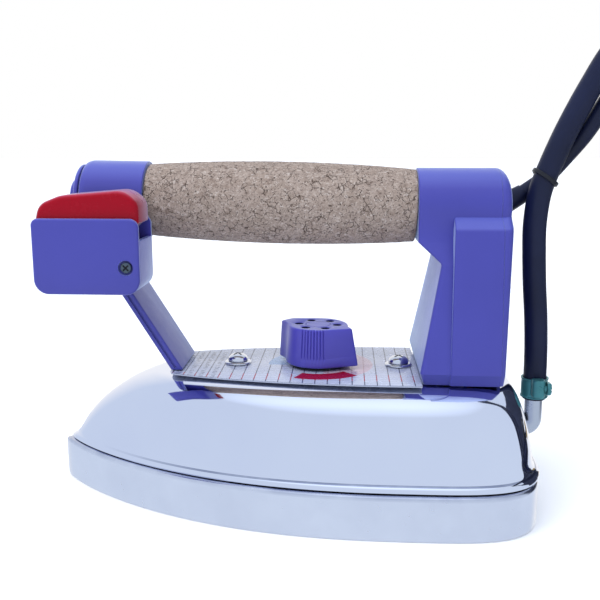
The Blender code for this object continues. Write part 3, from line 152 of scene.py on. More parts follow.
class Look:
    """One procedural material, built up node by node."""

    def __init__(self, name, **constants):
        self.material = bpy.data.materials.new(name)
        self.begin(self.material, "Principled BSDF")
        for socket, value in constants.items():
            self.shader.inputs[socket.replace("_", " ")].default_value = value
        self.bumps = []

    def begin(self, owner, shader):
        owner.use_nodes = True
        self.tree = owner.node_tree
        self.shader = self.tree.nodes[shader]

    def node(self, kind, **settings):
        node = self.tree.nodes.new(kind)
        for key, value in settings.items():
            setattr(node, key, value)
        return node

    def feed(self, target, value):
        if isinstance(value, Value):
            self.tree.links.new(value.socket, target)
        elif hasattr(value, "is_output"):
            self.tree.links.new(value, target)
        else:
            target.default_value = value

    def place(self, kind="Object"):
        return self.node("ShaderNodeTexCoord").outputs[kind]

    def split(self, vector, kind="ShaderNodeSeparateXYZ"):
        """The three parts of a vector or a colour, as values."""
        node = self.node(kind)
        self.feed(node.inputs[0], vector)
        return [Value(self, output) for output in node.outputs]

    def axes(self, kind="Object"):
        """X, Y and Z as values, in millimetres."""
        return [value * (1 / MM) for value in self.split(self.place(kind))]

    def facing_up(self):
        """How far the surface faces up, from -1 to 1."""
        return self.split(self.node("ShaderNodeNewGeometry").outputs["Normal"])[2]

    def stretched(self, factors):
        node = self.node("ShaderNodeMapping")
        self.feed(node.inputs["Vector"], self.place())
        node.inputs["Scale"].default_value = factors
        return node.outputs[0]

    def noise(self, scale, detail=4.0, roughness=0.55, vector=None, distortion=0.0):
        node = self.node("ShaderNodeTexNoise")
        self.feed(node.inputs["Vector"], vector or self.place())
        names = ("Scale", "Detail", "Roughness", "Distortion")
        for name, value in zip(names, (scale, detail, roughness, distortion)):
            node.inputs[name].default_value = value
        return Value(self, node.outputs["Fac"])

    def cells(self, scale, feature, vector, output):
        node = self.node("ShaderNodeTexVoronoi", feature=feature)
        self.feed(node.inputs["Vector"], vector)
        node.inputs["Scale"].default_value = scale
        return node.outputs[output]

    def mix(self, amount, first, second):
        """A colour from first at 0 to second at 1."""
        node = self.node("ShaderNodeMix", data_type="RGBA")
        colours = [socket for socket in node.inputs if socket.type == "RGBA"]
        self.feed(node.inputs["Factor"], amount)
        for target, value in zip(colours, (first, second)):
            self.feed(target, (*value, 1.0) if isinstance(value, tuple) else value)
        return next(socket for socket in node.outputs if socket.type == "RGBA")

    def mottled(self, scale, detail, first, second):
        """A colour that wanders between two."""
        return self.mix(self.noise(scale, detail).ramp(0.3, 0.7), first, second)

    def colour(self, value):
        self.set("Base Color", value)

    def set(self, name, value):
        self.feed(self.shader.inputs[name], value)

    def bump(self, height, distance, strength=1.0):
        """Adds a bump; distance is in millimetres."""
        node = self.node("ShaderNodeBump")
        self.feed(node.inputs["Height"], height)
        node.inputs["Distance"].default_value = distance * MM
        node.inputs["Strength"].default_value = strength
        if self.bumps:
            self.tree.links.new(self.bumps[-1].outputs[0], node.inputs["Normal"])
        self.bumps.append(node)
        self.tree.links.new(node.outputs[0], self.shader.inputs["Normal"])


class Sky(Look):
    """The light from all round, built up in the same way."""

    def __init__(self, name):
        self.world = bpy.data.worlds.new(name)
        self.begin(self.world, "Background")


def shade(colour, factor):
    return tuple(min(1.0, channel * factor) for channel in colour)


SHEEN_TINT = (0.62, 0.75, 1.0, 1.0)


def moulded(name, colour, roughness=0.36, grain=0.02, spread=0.05, specular=0.5, sheen=0.0, painted_top_light=None,
            painted_shade=None):
    """Moulded plastic: a fine sparked texture, slight tone changes and handling marks in the gloss.

    painted_top_light is the lighter colour that its upper surfaces tend to, a painted highlight;
    painted_shade says where painted shade darkens it.
    """
    look = Look(name, Specular_IOR_Level=specular, Sheen_Weight=sheen, Sheen_Roughness=0.3,
                Sheen_Tint=SHEEN_TINT)
    broad = look.noise(22, 3)
    tone = look.mix(broad.ramp(0.3, 0.7), shade(colour, 1 - spread), shade(colour, 1 + spread))
    # Painted highlight: the more a surface faces up, the more its colour moves towards the lighter one.
    if painted_top_light:
        tone = look.mix(look.facing_up().ramp(0.5, 1.0, 0.0, 0.8), tone, painted_top_light)
    # Painted shade: where the mask says, the colour is mixed almost to black.
    if painted_shade:
        tone = look.mix(painted_shade(look) * 0.95, tone, shade(colour, 0.08))
    look.colour(tone)
    marks = look.noise(160, 5, 0.7)
    look.set("Roughness", marks.ramp(0.3, 0.75, roughness - 0.05, roughness + 0.08))
    look.bump(look.noise(2600, 2), grain)
    return look.material


def metal(name, colour, roughness, brushed=None):
    """Bare metal with soft smudges, and with brush lines when a stretch is given."""
    look = Look(name, Metallic=1.0)
    smudge = look.noise(34, 4)
    look.colour(look.mix(smudge.ramp(0.3, 0.7), shade(colour, 0.95), colour))
    look.set("Roughness", look.noise(90, 5, 0.65).ramp(0.3, 0.75, roughness - 0.03, roughness + 0.06))
    if brushed:
        look.bump(look.noise(1500, 3, vector=look.stretched(brushed)), 0.02, 0.6)
    return look.material


VIOLET = (0.043, 0.043, 0.29)
RED = (0.27, 0.0004, 0.009)
RUBBER = (0.0054, 0.0082, 0.031)
CORK_CELLS = 330


def cork():
    """Pressed cork: greyish grains of uneven size, dark seams and pits between them."""
    look = Look("cork", Specular_IOR_Level=0.25)
    shift = look.node("ShaderNodeTexNoise")
    look.feed(shift.inputs["Vector"], look.place())
    shift.inputs["Scale"].default_value = 260
    scaled = look.node("ShaderNodeVectorMath", operation="SCALE")
    look.feed(scaled.inputs[0], shift.outputs["Color"])
    scaled.inputs["Scale"].default_value = 0.0022
    warped = look.node("ShaderNodeVectorMath", operation="ADD")
    look.feed(warped.inputs[0], look.place())
    look.feed(warped.inputs[1], scaled.outputs[0])
    here = warped.outputs[0]
    pick = look.split(look.cells(CORK_CELLS, "F1", here, "Color"), "ShaderNodeSeparateColor")[0]
    edge = Value(look, look.cells(CORK_CELLS, "DISTANCE_TO_EDGE", here, "Distance"))
    mottle = look.noise(360, 8, 0.80, distortion=0.8)
    patch = look.noise(120, 4, 0.7).ramp(0.40, 0.62)
    seam = edge.ramp(0.0, 0.06, 1.0, 0.0)
    broken = look.noise(230, 5, 0.8).ramp(0.50, 0.55)
    dashes = look.noise(560, 5, 0.72, look.stretched((1.0, 1.7, 0.8)), 2.0).ramp(0.605, 0.645)
    specks = look.noise(1250, 3, 0.6).ramp(0.63, 0.67)
    flecks = look.noise(640, 4, 0.7, look.stretched((0.8, 1.0, 1.6)), 1.2).ramp(0.56, 0.62)
    base = look.mix(mottle.ramp(0.34, 0.66), (0.150, 0.100, 0.078), (0.46, 0.378, 0.325))
    base = look.mix(patch * 0.45, base, (0.25, 0.185, 0.145))
    base = look.mix(pick.ramp(0, 1, 0.0, 0.40), base, (0.30, 0.235, 0.195))
    base = look.mix(flecks * 0.5, base, (0.58, 0.51, 0.465))
    dark = (seam * broken).math("MAXIMUM", dashes).math("MAXIMUM", specks * 0.8)
    look.colour(look.mix(dark, base, (0.030, 0.014, 0.009)))
    look.set("Roughness", dark.ramp(0, 1, 0.62, 0.9))
    look.bump(dark.ramp(0, 1, 1.0, 0.0), 0.3, 0.8)
    look.bump(mottle, 0.10, 0.6)
    return look.material


def chrome():
    """Polished chrome plate, with wiped smudges, hairline scratches and a painted dark line above the bead.
    """
    look = Look("chrome", Metallic=1.0)
    tone = look.mix(look.noise(14, 3).ramp(0.35, 0.7), (0.80, 0.82, 0.93), (0.84, 0.86, 0.95))
    x, _, height = look.axes()
    # Painted shade: a thin dark band just above the bead, where the fillet would mirror something dark,
    # fading out towards the tip.
    painted_fillet_shade = height.between(COVER_BOTTOM + 2.3, COVER_BOTTOM + 3.0) * x.ramp(-80.0, -25.0)
    painted_fillet_shade = painted_fillet_shade * look.noise(30, 4, 0.6).ramp(0.3, 0.55, 0.45, 1.0)
    look.colour(look.mix(painted_fillet_shade * 0.75, tone, (0.17, 0.20, 0.32)))
    wipe = look.noise(28, 6, 0.6, look.stretched((1.0, 3.0, 5.0)))
    look.set("Roughness", wipe.ramp(0.42, 0.72, 0.035, 0.10))
    hair = look.noise(420, 2, 0.5, look.stretched((0.05, 1.0, 3.0))).ramp(0.68, 0.72)
    look.bump(hair, 0.004, 0.3)
    return look.material


def cast_sole():
    """Machined aluminium: fine lines round the sides, a slightly frosted tone and a painted shadow under the
    cover's bead.
    """
    look = Look("machined_aluminium", Metallic=1.0)
    tone = look.mottled(40, 5, (0.80, 0.815, 0.90), (0.88, 0.895, 0.97))
    # Painted shadow: the sole darkens towards its top, under the cover's bead.
    painted_bead_shadow = look.axes()[2].ramp(COVER_BOTTOM - 2.6, COVER_BOTTOM - 0.6)
    painted_bead_shadow = painted_bead_shadow * look.noise(24, 4, 0.6).ramp(0.35, 0.6)
    look.colour(look.mix(painted_bead_shadow * 0.6, tone, (0.30, 0.33, 0.47)))
    look.set("Roughness", look.noise(300, 5, 0.7).ramp(0.3, 0.75, 0.16, 0.30))
    look.bump(look.noise(900, 3, 0.6, look.stretched((0.15, 0.15, 6.0))), 0.012, 0.5)
    return look.material


def round_knob(look):
    """The place seen from the knob's axis: towards +X, towards +Y, and its distance."""
    x, y, _ = look.axes()
    aside = x - KNOB_X
    return aside, y, ((aside * aside) + y * y).math("SQRT")


def shade_in_knob_holes(look):
    """Where the knob's blind holes get painted shade, on their walls below the top."""
    _, _, radius = round_knob(look)
    return radius.between(6.6, 12.0) * look.axes()[2].between(70.0, KNOB_TOP - 0.15)


def printed_plate():
    """A printed metal plate: thin rules with meaningless marks, a dial of three sectors, a dark border."""
    look = Look("printed_plate", Metallic=0.25, Specular_IOR_Level=0.5)
    x, y, _ = look.axes()
    ink, red_ink = (0.035, 0.04, 0.09), (0.30, 0.012, 0.045)
    tone = look.mottled(60, 4, (0.45, 0.49, 0.63), (0.53, 0.57, 0.70))
    sheet = look.mix(y.lines(3.1, 0.26) * 0.7, tone, (0.20, 0.22, 0.34))
    column = x.lines(5.6, 0.48, 1.2)
    sheet = look.mix(column * 0.9, sheet, ink)
    sheet = look.mix(column * y.between(-28.0, -18.0), sheet, red_ink)
    dash = look.noise(1300, 2, 0.5, look.stretched((0.5, 1.0, 1.0))).above(0.49)
    between_columns = x.lines(5.6, 2.0, -1.6)
    marks = dash * between_columns * x.below(-24.0) * y.between(-27.0, 20.0) * y.lines(1.15, 0.62)
    sheet = look.mix(marks * 0.9, sheet, ink)
    aside, _, radius = round_knob(look)
    angle = y.math("ARCTAN2", aside)
    blue = radius.between(13.5, 24.0) * aside.below(-8.0) * y.between(-2.4, 14.5)
    sheet = look.mix(blue * 0.85, sheet, (0.21, 0.36, 0.62))
    sheet = look.mix(radius.below(26.5) * aside.above(3.0) * 0.62, sheet, (0.56, 0.34, 0.40))
    sheet = look.mix(radius.between(17.6, 26.9) * angle.between(-1.97, -0.80), sheet, (0.34, 0.002, 0.018))
    share = ((x - PLATE_CENTRE) / PLATE_LENGTH).math("POWER", 2.0)
    half = (share * -1.0 + 1.0).math("SQRT") * PLATE_HALF_WIDTH
    border = (half - y.math("ABSOLUTE")).below(0.30).math("MAXIMUM", x.below(PLATE_FRONT + 0.4))
    sheet = look.mix(border, sheet, (0.05, 0.055, 0.12))
    sheet = look.mix(look.facing_up().below(0.7), sheet, (0.42, 0.45, 0.56))
    look.colour(sheet)
    look.set("Roughness", look.noise(150, 5, 0.7).ramp(0.3, 0.75, 0.20, 0.34))
    look.bump(look.noise(700, 3, 0.6, look.stretched((0.1, 3.0, 1.0))), 0.006, 0.4)
    return look.material


def rubber(name, colour):
    """Rubber hose or lead: a fine cloth mark in the skin, along and round it."""
    look = Look(name, Specular_IOR_Level=0.28)
    u, v, _ = look.axes("UV")
    look.colour(look.mottled(46, 4, shade(colour, 0.85), shade(colour, 1.25)))
    look.set("Roughness", look.noise(240, 5, 0.7).ramp(0.3, 0.75, 0.34, 0.50))
    weave = ((u + v).math("PINGPONG", 0.45) * 1.1) + ((u - v).math("PINGPONG", 0.45) * 1.1)
    look.bump(weave, 0.05, 0.35)
    look.bump(look.noise(1800, 2), 0.02, 0.5)
    return look.material


def coated(name, colour, metallic):
    """Plated or painted metal, worn a little by handling."""
    look = Look(name, Metallic=metallic)
    tone = look.mottled(70, 3, shade(colour, 0.8), shade(colour, 1.15))
    wear = look.noise(240, 6, 0.75).ramp(0.62, 0.72)
    look.colour(look.mix(wear * 0.4, tone, (0.42, 0.46, 0.46)))
    look.set("Roughness", look.noise(180, 5, 0.7).ramp(0.3, 0.75, 0.24, 0.4))
    look.bump(look.noise(900, 3), 0.02)
    return look.material


def earthen(name, colour, bump, scale=700, roughness=0.7):
    """Fired ceramic, fibre or gasket sheet: matt and mottled."""
    look = Look(name)
    mottle = look.noise(scale / 3, 6, 0.7).ramp(0.3, 0.7)
    look.colour(look.mix(mottle, shade(colour, 0.78), shade(colour, 1.08)))
    look.set("Roughness", look.noise(scale / 2, 3).ramp(0.3, 0.7, roughness - 0.1, min(1.0, roughness + 0.1)))
    look.bump(look.noise(scale, 5, 0.7), bump)
    return look.material


LOOKS = {
    "violet": moulded("violet_plastic", VIOLET, sheen=1.0, painted_top_light=(0.088, 0.108, 0.43)),
    "knob": moulded("knob_plastic", (0.062, 0.052, 0.37), 0.32, sheen=0.2, painted_top_light=(0.075, 0.085, 0.50),
                    painted_shade=shade_in_knob_holes),
    "red": moulded("red_plastic", RED, 0.24, 0.008, 0.04, 0.16, sheen=0.7, painted_top_light=(0.42, 0.04, 0.09)),
    "red_small": moulded("red_button", (0.42, 0.01, 0.02), 0.3),
    "black": moulded("black_plastic", (0.009, 0.010, 0.015), 0.38, 0.03, specular=0.35),
    "cork": cork(),
    "chrome": chrome(),
    "sole": cast_sole(),
    "plate": printed_plate(),
    "hose": rubber("hose_rubber", RUBBER),
    "cable": rubber("cable_rubber", shade(RUBBER, 0.9)),
    "steel": metal("steel", (0.62, 0.62, 0.65), 0.24),
    "pipe": metal("brushed_pipe", (0.60, 0.63, 0.70), 0.26, (1.0, 1.0, 0.08)),
    "bright": metal("bright_steel", (0.78, 0.79, 0.84), 0.10),
    # Painted shade: the dark metal of the ring in the gap under the knob.
    "knob_gap_shade": coated("knob_gap_shade_metal", (0.03, 0.035, 0.045), 0.7),
    "box_screw": coated("box_screw_plating", (0.095, 0.125, 0.155), 0.7),
    "clamp": coated("green_plated", (0.062, 0.235, 0.250), 0.55),
    "brass": metal("brass", (0.68, 0.50, 0.24), 0.24, (1.0, 0.1, 1.0)),
    "element": metal("element_sheath", (0.33, 0.30, 0.27), 0.4),
    "lid": metal("lid_aluminium", (0.70, 0.71, 0.73), 0.3, (0.1, 1.0, 1.0)),
    "gasket": earthen("gasket_rubber", (0.05, 0.02, 0.015), 0.03),
    "ceramic": earthen("ceramic", (0.70, 0.66, 0.58), 0.02, 500, 0.5),
    "fibre": earthen("fibre_blanket", (0.70, 0.66, 0.58), 0.5, 900, 0.9),
    "lead": earthen("braided_lead", (0.40, 0.10, 0.04), 0.08, 2400, 0.6),
}

# ---------------------------------------------------------------- shape helpers


def make(name, points, faces, sharp, uv=None):
    """A mesh object from points in millimetres, shaded smooth but for its sharp edges."""
    mesh = bpy.data.meshes.new(name)
    mesh.from_pydata([Vector(point) * MM for point in points], [], faces)
    if uv:
        layer = mesh.uv_layers.new(name="UVMap")
        for loop, value in zip(layer.data, uv):
            loop.uv = value
    work = bmesh.new()
    work.from_mesh(mesh)
    bmesh.ops.recalc_face_normals(work, faces=work.faces)
    work.to_mesh(mesh)
    work.free()
    return smooth(link(bpy.data.objects.new(name, mesh)), sharp)


def smooth(obj, sharp=35):
    obj.data.shade_smooth()
    obj.data.set_sharp_from_angle(angle=math.radians(sharp))
    return obj


def settle(obj, sharp=35):
    """Puts the object's modifiers into its mesh."""
    graph = bpy.context.evaluated_depsgraph_get()
    graph.update()
    mesh = bpy.data.meshes.new_from_object(obj.evaluated_get(graph))
    obj.modifiers.clear()
    obj.data = mesh
    return smooth(obj, sharp)


def cut(obj, cutters, operation="DIFFERENCE", sharp=35):
    """Takes cutters away from an object, or adds them to it, and removes them from the scene."""
    for cutter in cutters:
        step = obj.modifiers.new("cut", "BOOLEAN")
        step.operation, step.object, step.solver = operation, cutter, "EXACT"
    bpy.context.view_layer.update()
    settle(obj, sharp)
    for cutter in cutters:
        bpy.data.objects.remove(cutter)
    return obj


def join(name, objects):
    """One object from several, left as they are."""
    work = bmesh.new()
    for obj in objects:
        work.from_mesh(obj.data)
        bpy.data.objects.remove(obj)
    mesh = bpy.data.meshes.new(name)
    work.to_mesh(mesh)
    work.free()
    return smooth(link(bpy.data.objects.new(name, mesh)))


def pointing(direction):
    """The turn that takes +Z to a direction."""
    return Vector(direction).to_track_quat("Z", "Y").to_matrix().to_4x4()


def in_metres(matrix):
    """The same placing for a mesh, whose own points are in metres."""
    made = matrix.copy()
    made.translation = made.translation * MM
    return made


ALONG_X, TOWARDS_VIEWER = pointing((1, 0, 0)), pointing((0, -1, 0))
HANDLE = Matrix.Translation((0, 0, HANDLE_Z)) @ Matrix.Rotation(math.radians(HANDLE_TILT), 4, "Y")
AT_KNOB = Matrix.Translation((KNOB_X, 0, 0))


def dress(obj, look, slot, *replaced, body="iron"):
    """Gives a piece its material and its body, and hides the model's nodes that it stands for; slot is not
    used.
    """
    obj.data.materials.clear()
    obj.data.materials.append(LOOKS[look])
    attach(obj, body)
    if replaced:
        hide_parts(*replaced)
    return obj


def bend(before, corner, after, radius, steps):
    """Points round one corner of a line; the bend takes up less than half of each side."""
    before, corner, after = Vector(before), Vector(corner), Vector(after)
    start = corner + (before - corner).normalized() * min(radius, 0.45 * (before - corner).length)
    end = corner + (after - corner).normalized() * min(radius, 0.45 * (after - corner).length)
    shares = [k / steps for k in range(steps + 1)]
    return [tuple(start * (1 - t) ** 2 + corner * 2 * t * (1 - t) + end * t**2) for t in shares]


def soften(points, radius, closed):
    """The line with its corners rounded, where its stretches are long enough."""
    result = []
    for i, point in enumerate(points):
        if not closed and i in (0, len(points) - 1):
            result.append(tuple(point))
            continue
        before, after = points[i - 1], points[(i + 1) % len(points)]
        reach = min(radius, 0.45 * math.dist(before, point), 0.45 * math.dist(point, after))
        result += bend(before, point, after, reach, 3)
    return result


def turned(name, profile, matrix, steps, corner, sharp=35):
    """A turned shape from (radius, height) points; it closes on its axis or into a ring.

    corner is the radius that rounds the profile's own corners.
    """
    ring = profile[0][0] > 0
    outline = soften(profile, corner, ring) if corner else profile
    points, rows = [], []
    for r, height in outline:
        row = []
        for k in range(1 if r < 1e-6 else steps):
            angle = 2 * math.pi * k / steps
            row.append(len(points))
            points.append(matrix @ Vector((r * math.cos(angle), r * math.sin(angle), height)))
        rows.append(row)
    pairs = list(zip(rows, rows[1:])) + ([(rows[-1], rows[0])] if ring else [])
    faces = []
    for low, high in pairs:
        for k in range(steps):
            j = (k + 1) % steps
            if len(low) == 1 and len(high) == 1:
                break
            if len(low) == 1:
                faces.append((low[0], high[j], high[k]))
            elif len(high) == 1:
                faces.append((low[k], low[j], high[0]))
            else:
                faces.append((low[k], low[j], high[j], high[k]))
    return make(name, points, faces, sharp)


def drill(name, radius, low, high, matrix, steps=32):
    """A plain round cutter on an axis."""
    return turned(name, ((0, low), (radius, low), (radius, high), (0, high)), matrix, steps, 0)


def loft(name, rings, capped=(True, True), looped=False, sharp=35):
    """A skin over rings of points; a looped one goes on from its last ring to its first."""
    count = len(rings[0])
    points = [point for ring in rings for point in ring]
    faces = []
    for level in range(len(rings) if looped else len(rings) - 1):
        a, b = level * count, (level + 1) % len(rings) * count
        for i in range(count):
            j = (i + 1) % count
            faces.append((a + i, a + j, b + j, b + i))
    if capped[0] and not looped:
        faces.append(tuple(range(count))[::-1])
    if capped[1] and not looped:
        faces.append(tuple(range(len(points) - count, len(points))))
    return make(name, points, faces, sharp)


def ring_at(outline, z):
    return [(x, y, z) for x, y in outline]


def rounding(radius, steps):
    """(height, inset) along a rounded edge, from the flat face to the side."""
    turns = [math.pi / 2 * k / steps for k in range(steps + 1)]
    return [(radius * (1 - math.cos(turn)), radius * (1 - math.sin(turn))) for turn in turns]


def inset_corners(corners, distance):
    """A polygon moved inwards by a distance; its corners run anticlockwise."""
    result = []
    for i, corner in enumerate(corners):
        here = Vector(corner)
        into = (here - Vector(corners[i - 1])).normalized()
        out = (Vector(corners[(i + 1) % len(corners)]) - here).normalized()
        left_in, left_out = Vector((-into.y, into.x)), Vector((-out.y, out.x))
        bisector = (left_in + left_out).normalized()
        result.append(tuple(here + bisector * distance / max(0.35, bisector.dot(left_in))))
    return result


def round_corners(corners, radii, steps):
    """A polygon with a true arc at each corner."""
    outline = []
    for i, (x, y) in enumerate(corners):
        before, after = corners[i - 1], corners[(i + 1) % len(corners)]
        here = Vector((x, y))
        into, out = (here - Vector(before)).normalized(), (Vector(after) - here).normalized()
        turn = into.angle_signed(out)
        reach = radii[i] * math.tan(abs(turn) / 2)
        start = here - into * reach
        side = Vector((-into.y, into.x)) * (-1 if turn > 0 else 1)
        centre = start + side * radii[i]
        spoke = start - centre
        for k in range(steps + 1):
            outline.append(tuple(centre + Matrix.Rotation(-turn * k / steps, 2) @ spoke))
    return outline


def slab(name, corners, radii, low, high, edges, axis="Z", steps=8, sharp=35):
    """A rounded polygon given thickness, with rounded edges: in XY along Z, or in XZ along Y."""
    levels = [(low + height, inset) for height, inset in rounding(edges[0], 4)]
    levels += [(high - height, inset) for height, inset in rounding(edges[1], 4)[::-1]]
    rings = []
    for at, inset in levels:
        outline = round_corners(inset_corners(corners, inset), [max(0.15, r - inset) for r in radii], steps)
        rings.append([(a, b, at) if axis == "Z" else (a, at, b) for a, b in outline])
    return loft(name, rings, sharp=sharp)


def block(name, low, high, edge):
    """A box from its lowest to its highest corner, with rounded edges."""
    corners = ((low[0], low[1]), (high[0], low[1]), (high[0], high[1]), (low[0], high[1]))
    return slab(name, corners, [max(edge, 0.15)] * 4, low[2], high[2], (edge, edge), steps=3)


def curve_through(points, steps):
    """A smooth curve through all points but the first and last, which only steer its ends."""
    result = []
    for p0, p1, p2, p3 in zip(points, points[1:], points[2:], points[3:]):
        for k in range(steps):
            t = k / steps
            result.append(tuple(
                0.5 * (2 * b + (c - a) * t + (2 * a - 5 * b + 4 * c - d) * t**2
                       + (3 * b - a - 3 * c + d) * t**3)
                for a, b, c, d in zip(p0, p1, p2, p3)
            ))
    return result + [tuple(points[-2])]


def smooth_route(points, spacing):
    """Evenly spaced points on a smooth curve through the route's own points."""
    points = [Vector(point) for point in points]
    dense = curve_through([2 * points[0] - points[1], *points, 2 * points[-1] - points[-2]], 12)
    return resampled(dense, round(length_of(dense) / spacing) + 1)


def length_of(points):
    return sum(math.dist(a, b) for a, b in zip(points, points[1:]))


def resampled(points, count):
    """Points at even distances along a line."""
    lengths = [0.0]
    for a, b in zip(points, points[1:]):
        lengths.append(lengths[-1] + math.dist(a, b))
    result, k = [], 0
    for i in range(count):
        wanted = lengths[-1] * i / (count - 1)
        while k < len(points) - 2 and lengths[k + 1] < wanted:
            k += 1
        part = (wanted - lengths[k]) / max(1e-9, lengths[k + 1] - lengths[k])
        result.append(Vector(points[k]).lerp(Vector(points[k + 1]), part))
    return result


def sweep(name, path, radius, steps):
    """A tube along a path, with UVs in metres."""
    path = [Vector(point) for point in path]
    forward = (path[1] - path[0]).normalized()
    side = forward.orthogonal().normalized()
    points, lengths = [], [0.0]
    for i, here in enumerate(path):
        ahead = (path[min(i + 1, len(path) - 1)] - path[max(i - 1, 0)]).normalized()
        side = (forward.rotation_difference(ahead) @ side).normalized()
        side = (side - ahead * side.dot(ahead)).normalized()
        forward = ahead
        if i:
            lengths.append(lengths[-1] + (here - path[i - 1]).length)
        other = ahead.cross(side)
        for k in range(steps):
            angle = 2 * math.pi * k / steps
            points.append(here + side * radius * math.cos(angle) + other * radius * math.sin(angle))
    faces, uv = [], []
    around = 2 * math.pi * radius * MM
    for i in range(len(path) - 1):
        for k in range(steps):
            j = (k + 1) % steps
            faces.append((i * steps + k, i * steps + j, (i + 1) * steps + j, (i + 1) * steps + k))
            low, high = lengths[i] * MM, lengths[i + 1] * MM
            a, b = around * k / steps, around * (k + 1) / steps
            uv += [(low, a), (low, b), (high, b), (high, a)]
    faces.append(tuple(range(steps))[::-1])
    faces.append(tuple(range(len(points) - steps, len(points))))
    uv += [(0, 0)] * (2 * steps)
    return make(name, points, faces, 50, uv)


# ---------------------------------------------------------------- cords

HOSE_ROUTE = (
    (126, 0, 44.3), (126, 0, 56), (125.7, 0, 70), (124.8, 0, 85), (123.4, 0, 100),
    (122.4, 0, 115), (122, 0, 128), (123.2, 0, 141), (125.6, 0, 149.8), (131.8, 0, 165.8),
    (137.4, 0, 178.2), (143.6, 0, 190.5), (151.6, 0, 204.6), (163.5, -0.6, 219.5), (179, -2.2, 228.8),
    (196, -4.8, 230.4), (212.5, -8.6, 225.5), (226.5, -12.8, 214), (234.8, -16.6, 198), (237, -20.5, 178),
    (235.6, -24, 155), (232.9, -26.9, 130), (229.5, -29.1, 105), (226.4, -30.7, 80), (226.1, -31.7, 55),
    (231.9, -32, 32), (244.5, -32, 15), (259, -32, 7.6), (262.2, -32, 6.6),
)
CABLE_ROUTE = (
    (125.8, 10.2, 147.4), (130.6, 9.8, 151.9), (136.8, 7.8, 159.8), (143.6, 4.6, 169.4), (150.2, 2.4, 181.2),
    (158.8, 1.4, 196.8), (170, 0.9, 210.8), (182.5, -0.8, 218.4), (195.6, -3.2, 219.8), (207.6, -6.3, 216),
    (218, -8.6, 207.4), (224.1, -12, 194), (226.1, -14.2, 176), (225, -16, 155), (222.7, -17.4, 130),
    (219.9, -18.1, 105), (218.4, -17.5, 84), (220.8, -15.8, 63), (228.9, -13.8, 45.5), (240, -12, 33),
    (257, -11, 27), (276, -11, 25.9),
)
CABLE_EXIT, CABLE_HEADING = Vector((108.5, 9.0, 136.4)), Vector((0.857, 0.02, 0.515)).normalized()
HOSE_SLOTS = ((63.4, 5.5), (52.6, 5.5), (52.6, 16.3), (63.4, 16.3))
CABLE_SLOTS = ((42.9, 19.6), (42.9, 11.8), (42.9, 4.0), (35.1, 4.0), (35.1, 11.8), (35.1, 19.6), (35.1, 27.7))
FIRST_SHIFT, SHIFT_STEP, SHIFT_SPAN = 270, 280, 72
CABLE_TAIL_START, CABLE_TAIL_RADIUS = -30.0, 31.5


def wound(slots, travel, last_shift=None):
    """The turns of a coil from -90 degrees, with slots of (radius, height) that it moves through in order."""
    shifts = [FIRST_SHIFT + SHIFT_STEP * k for k in range(len(slots) - 1)]
    if last_shift:
        shifts[-1] = last_shift
    points = []
    for gone in range(6, travel + 1, 6):
        radius, height = slots[0]
        for shift, (next_radius, next_height) in zip(shifts, slots[1:]):
            part = min(1.0, max(0.0, (gone - shift) / SHIFT_SPAN))
            part = part * part * (3 - 2 * part)
            radius += (next_radius - radius) * part
            height += (next_height - height) * part
        angle = math.radians(gone - 90)
        points.append(Vector((COIL_X + radius * math.cos(angle), COIL_Y + radius * math.sin(angle), height)))
    return points


def beside_coil(points):
    """Points measured from the coil's axis and up from the floor."""
    return [Vector((COIL_X + x, COIL_Y + y, z)) for x, y, z in points]


def hose_path():
    lead_in = beside_coil(((-28, -63.7, 5.9), (-14, -63.5, 5.6), (0, -63.4, 5.5)))
    out = beside_coil(((-14, 63.4, 15.6), (-32, 63.4, 13.4), (-49.6, 63.4, 12.2)))
    return smooth_route([*map(Vector, HOSE_ROUTE), *lead_in, *wound(HOSE_SLOTS, 1260), *out], 2.5)


def cable_tail():
    """Off the coil, then a left turn on top of it to the plug."""
    leave, reach = math.radians(CABLE_TAIL_START), CABLE_TAIL_RADIUS
    radius, top = CABLE_SLOTS[-1]
    heading = leave + math.pi / 2
    x = COIL_X + radius * math.cos(leave) - reach * math.sin(heading)
    y = COIL_Y + radius * math.sin(leave) + reach * math.cos(heading)
    route = []
    for k in range(9):
        turn = heading + (math.pi - heading) * k / 8
        lift = 3.4 * (k / 8) ** 2
        route.append(Vector((x + reach * math.sin(turn), y - reach * math.cos(turn), top + lift)))
    return route


def cable_path():
    start = [CABLE_EXIT + CABLE_HEADING * at for at in (-8, 2, 12)]
    lead_in = beside_coil(((-14, -43.0, 22.6), (0, -42.9, 19.8)))
    turns = wound(CABLE_SLOTS, 1860, last_shift=1750)[:-1]
    return smooth_route([*start, *map(Vector, CABLE_ROUTE), *lead_in, *turns, *cable_tail()], 2.2)


def make_cords():
    path = hose_path()
    hose = sweep("steam_hose_rubber", path, HOSE_DIAMETER / 2, 28)
    dress(hose, "hose", "steam_hose", "steam_hose", "hose_coil")
    fitting = make_fitting()
    ties = [coil_strap(k) for k in (35, 155, 275)]
    [point * MM for point in path]
    path = cable_path()
    cable = sweep("power_cable_rubber", path, CABLE_DIAMETER / 2, 24)
    dress(cable, "cable", "power_cable", "power_cable", "cable_coil", "cable_tail")
    plug = make_plug()
    [point * MM for point in path]


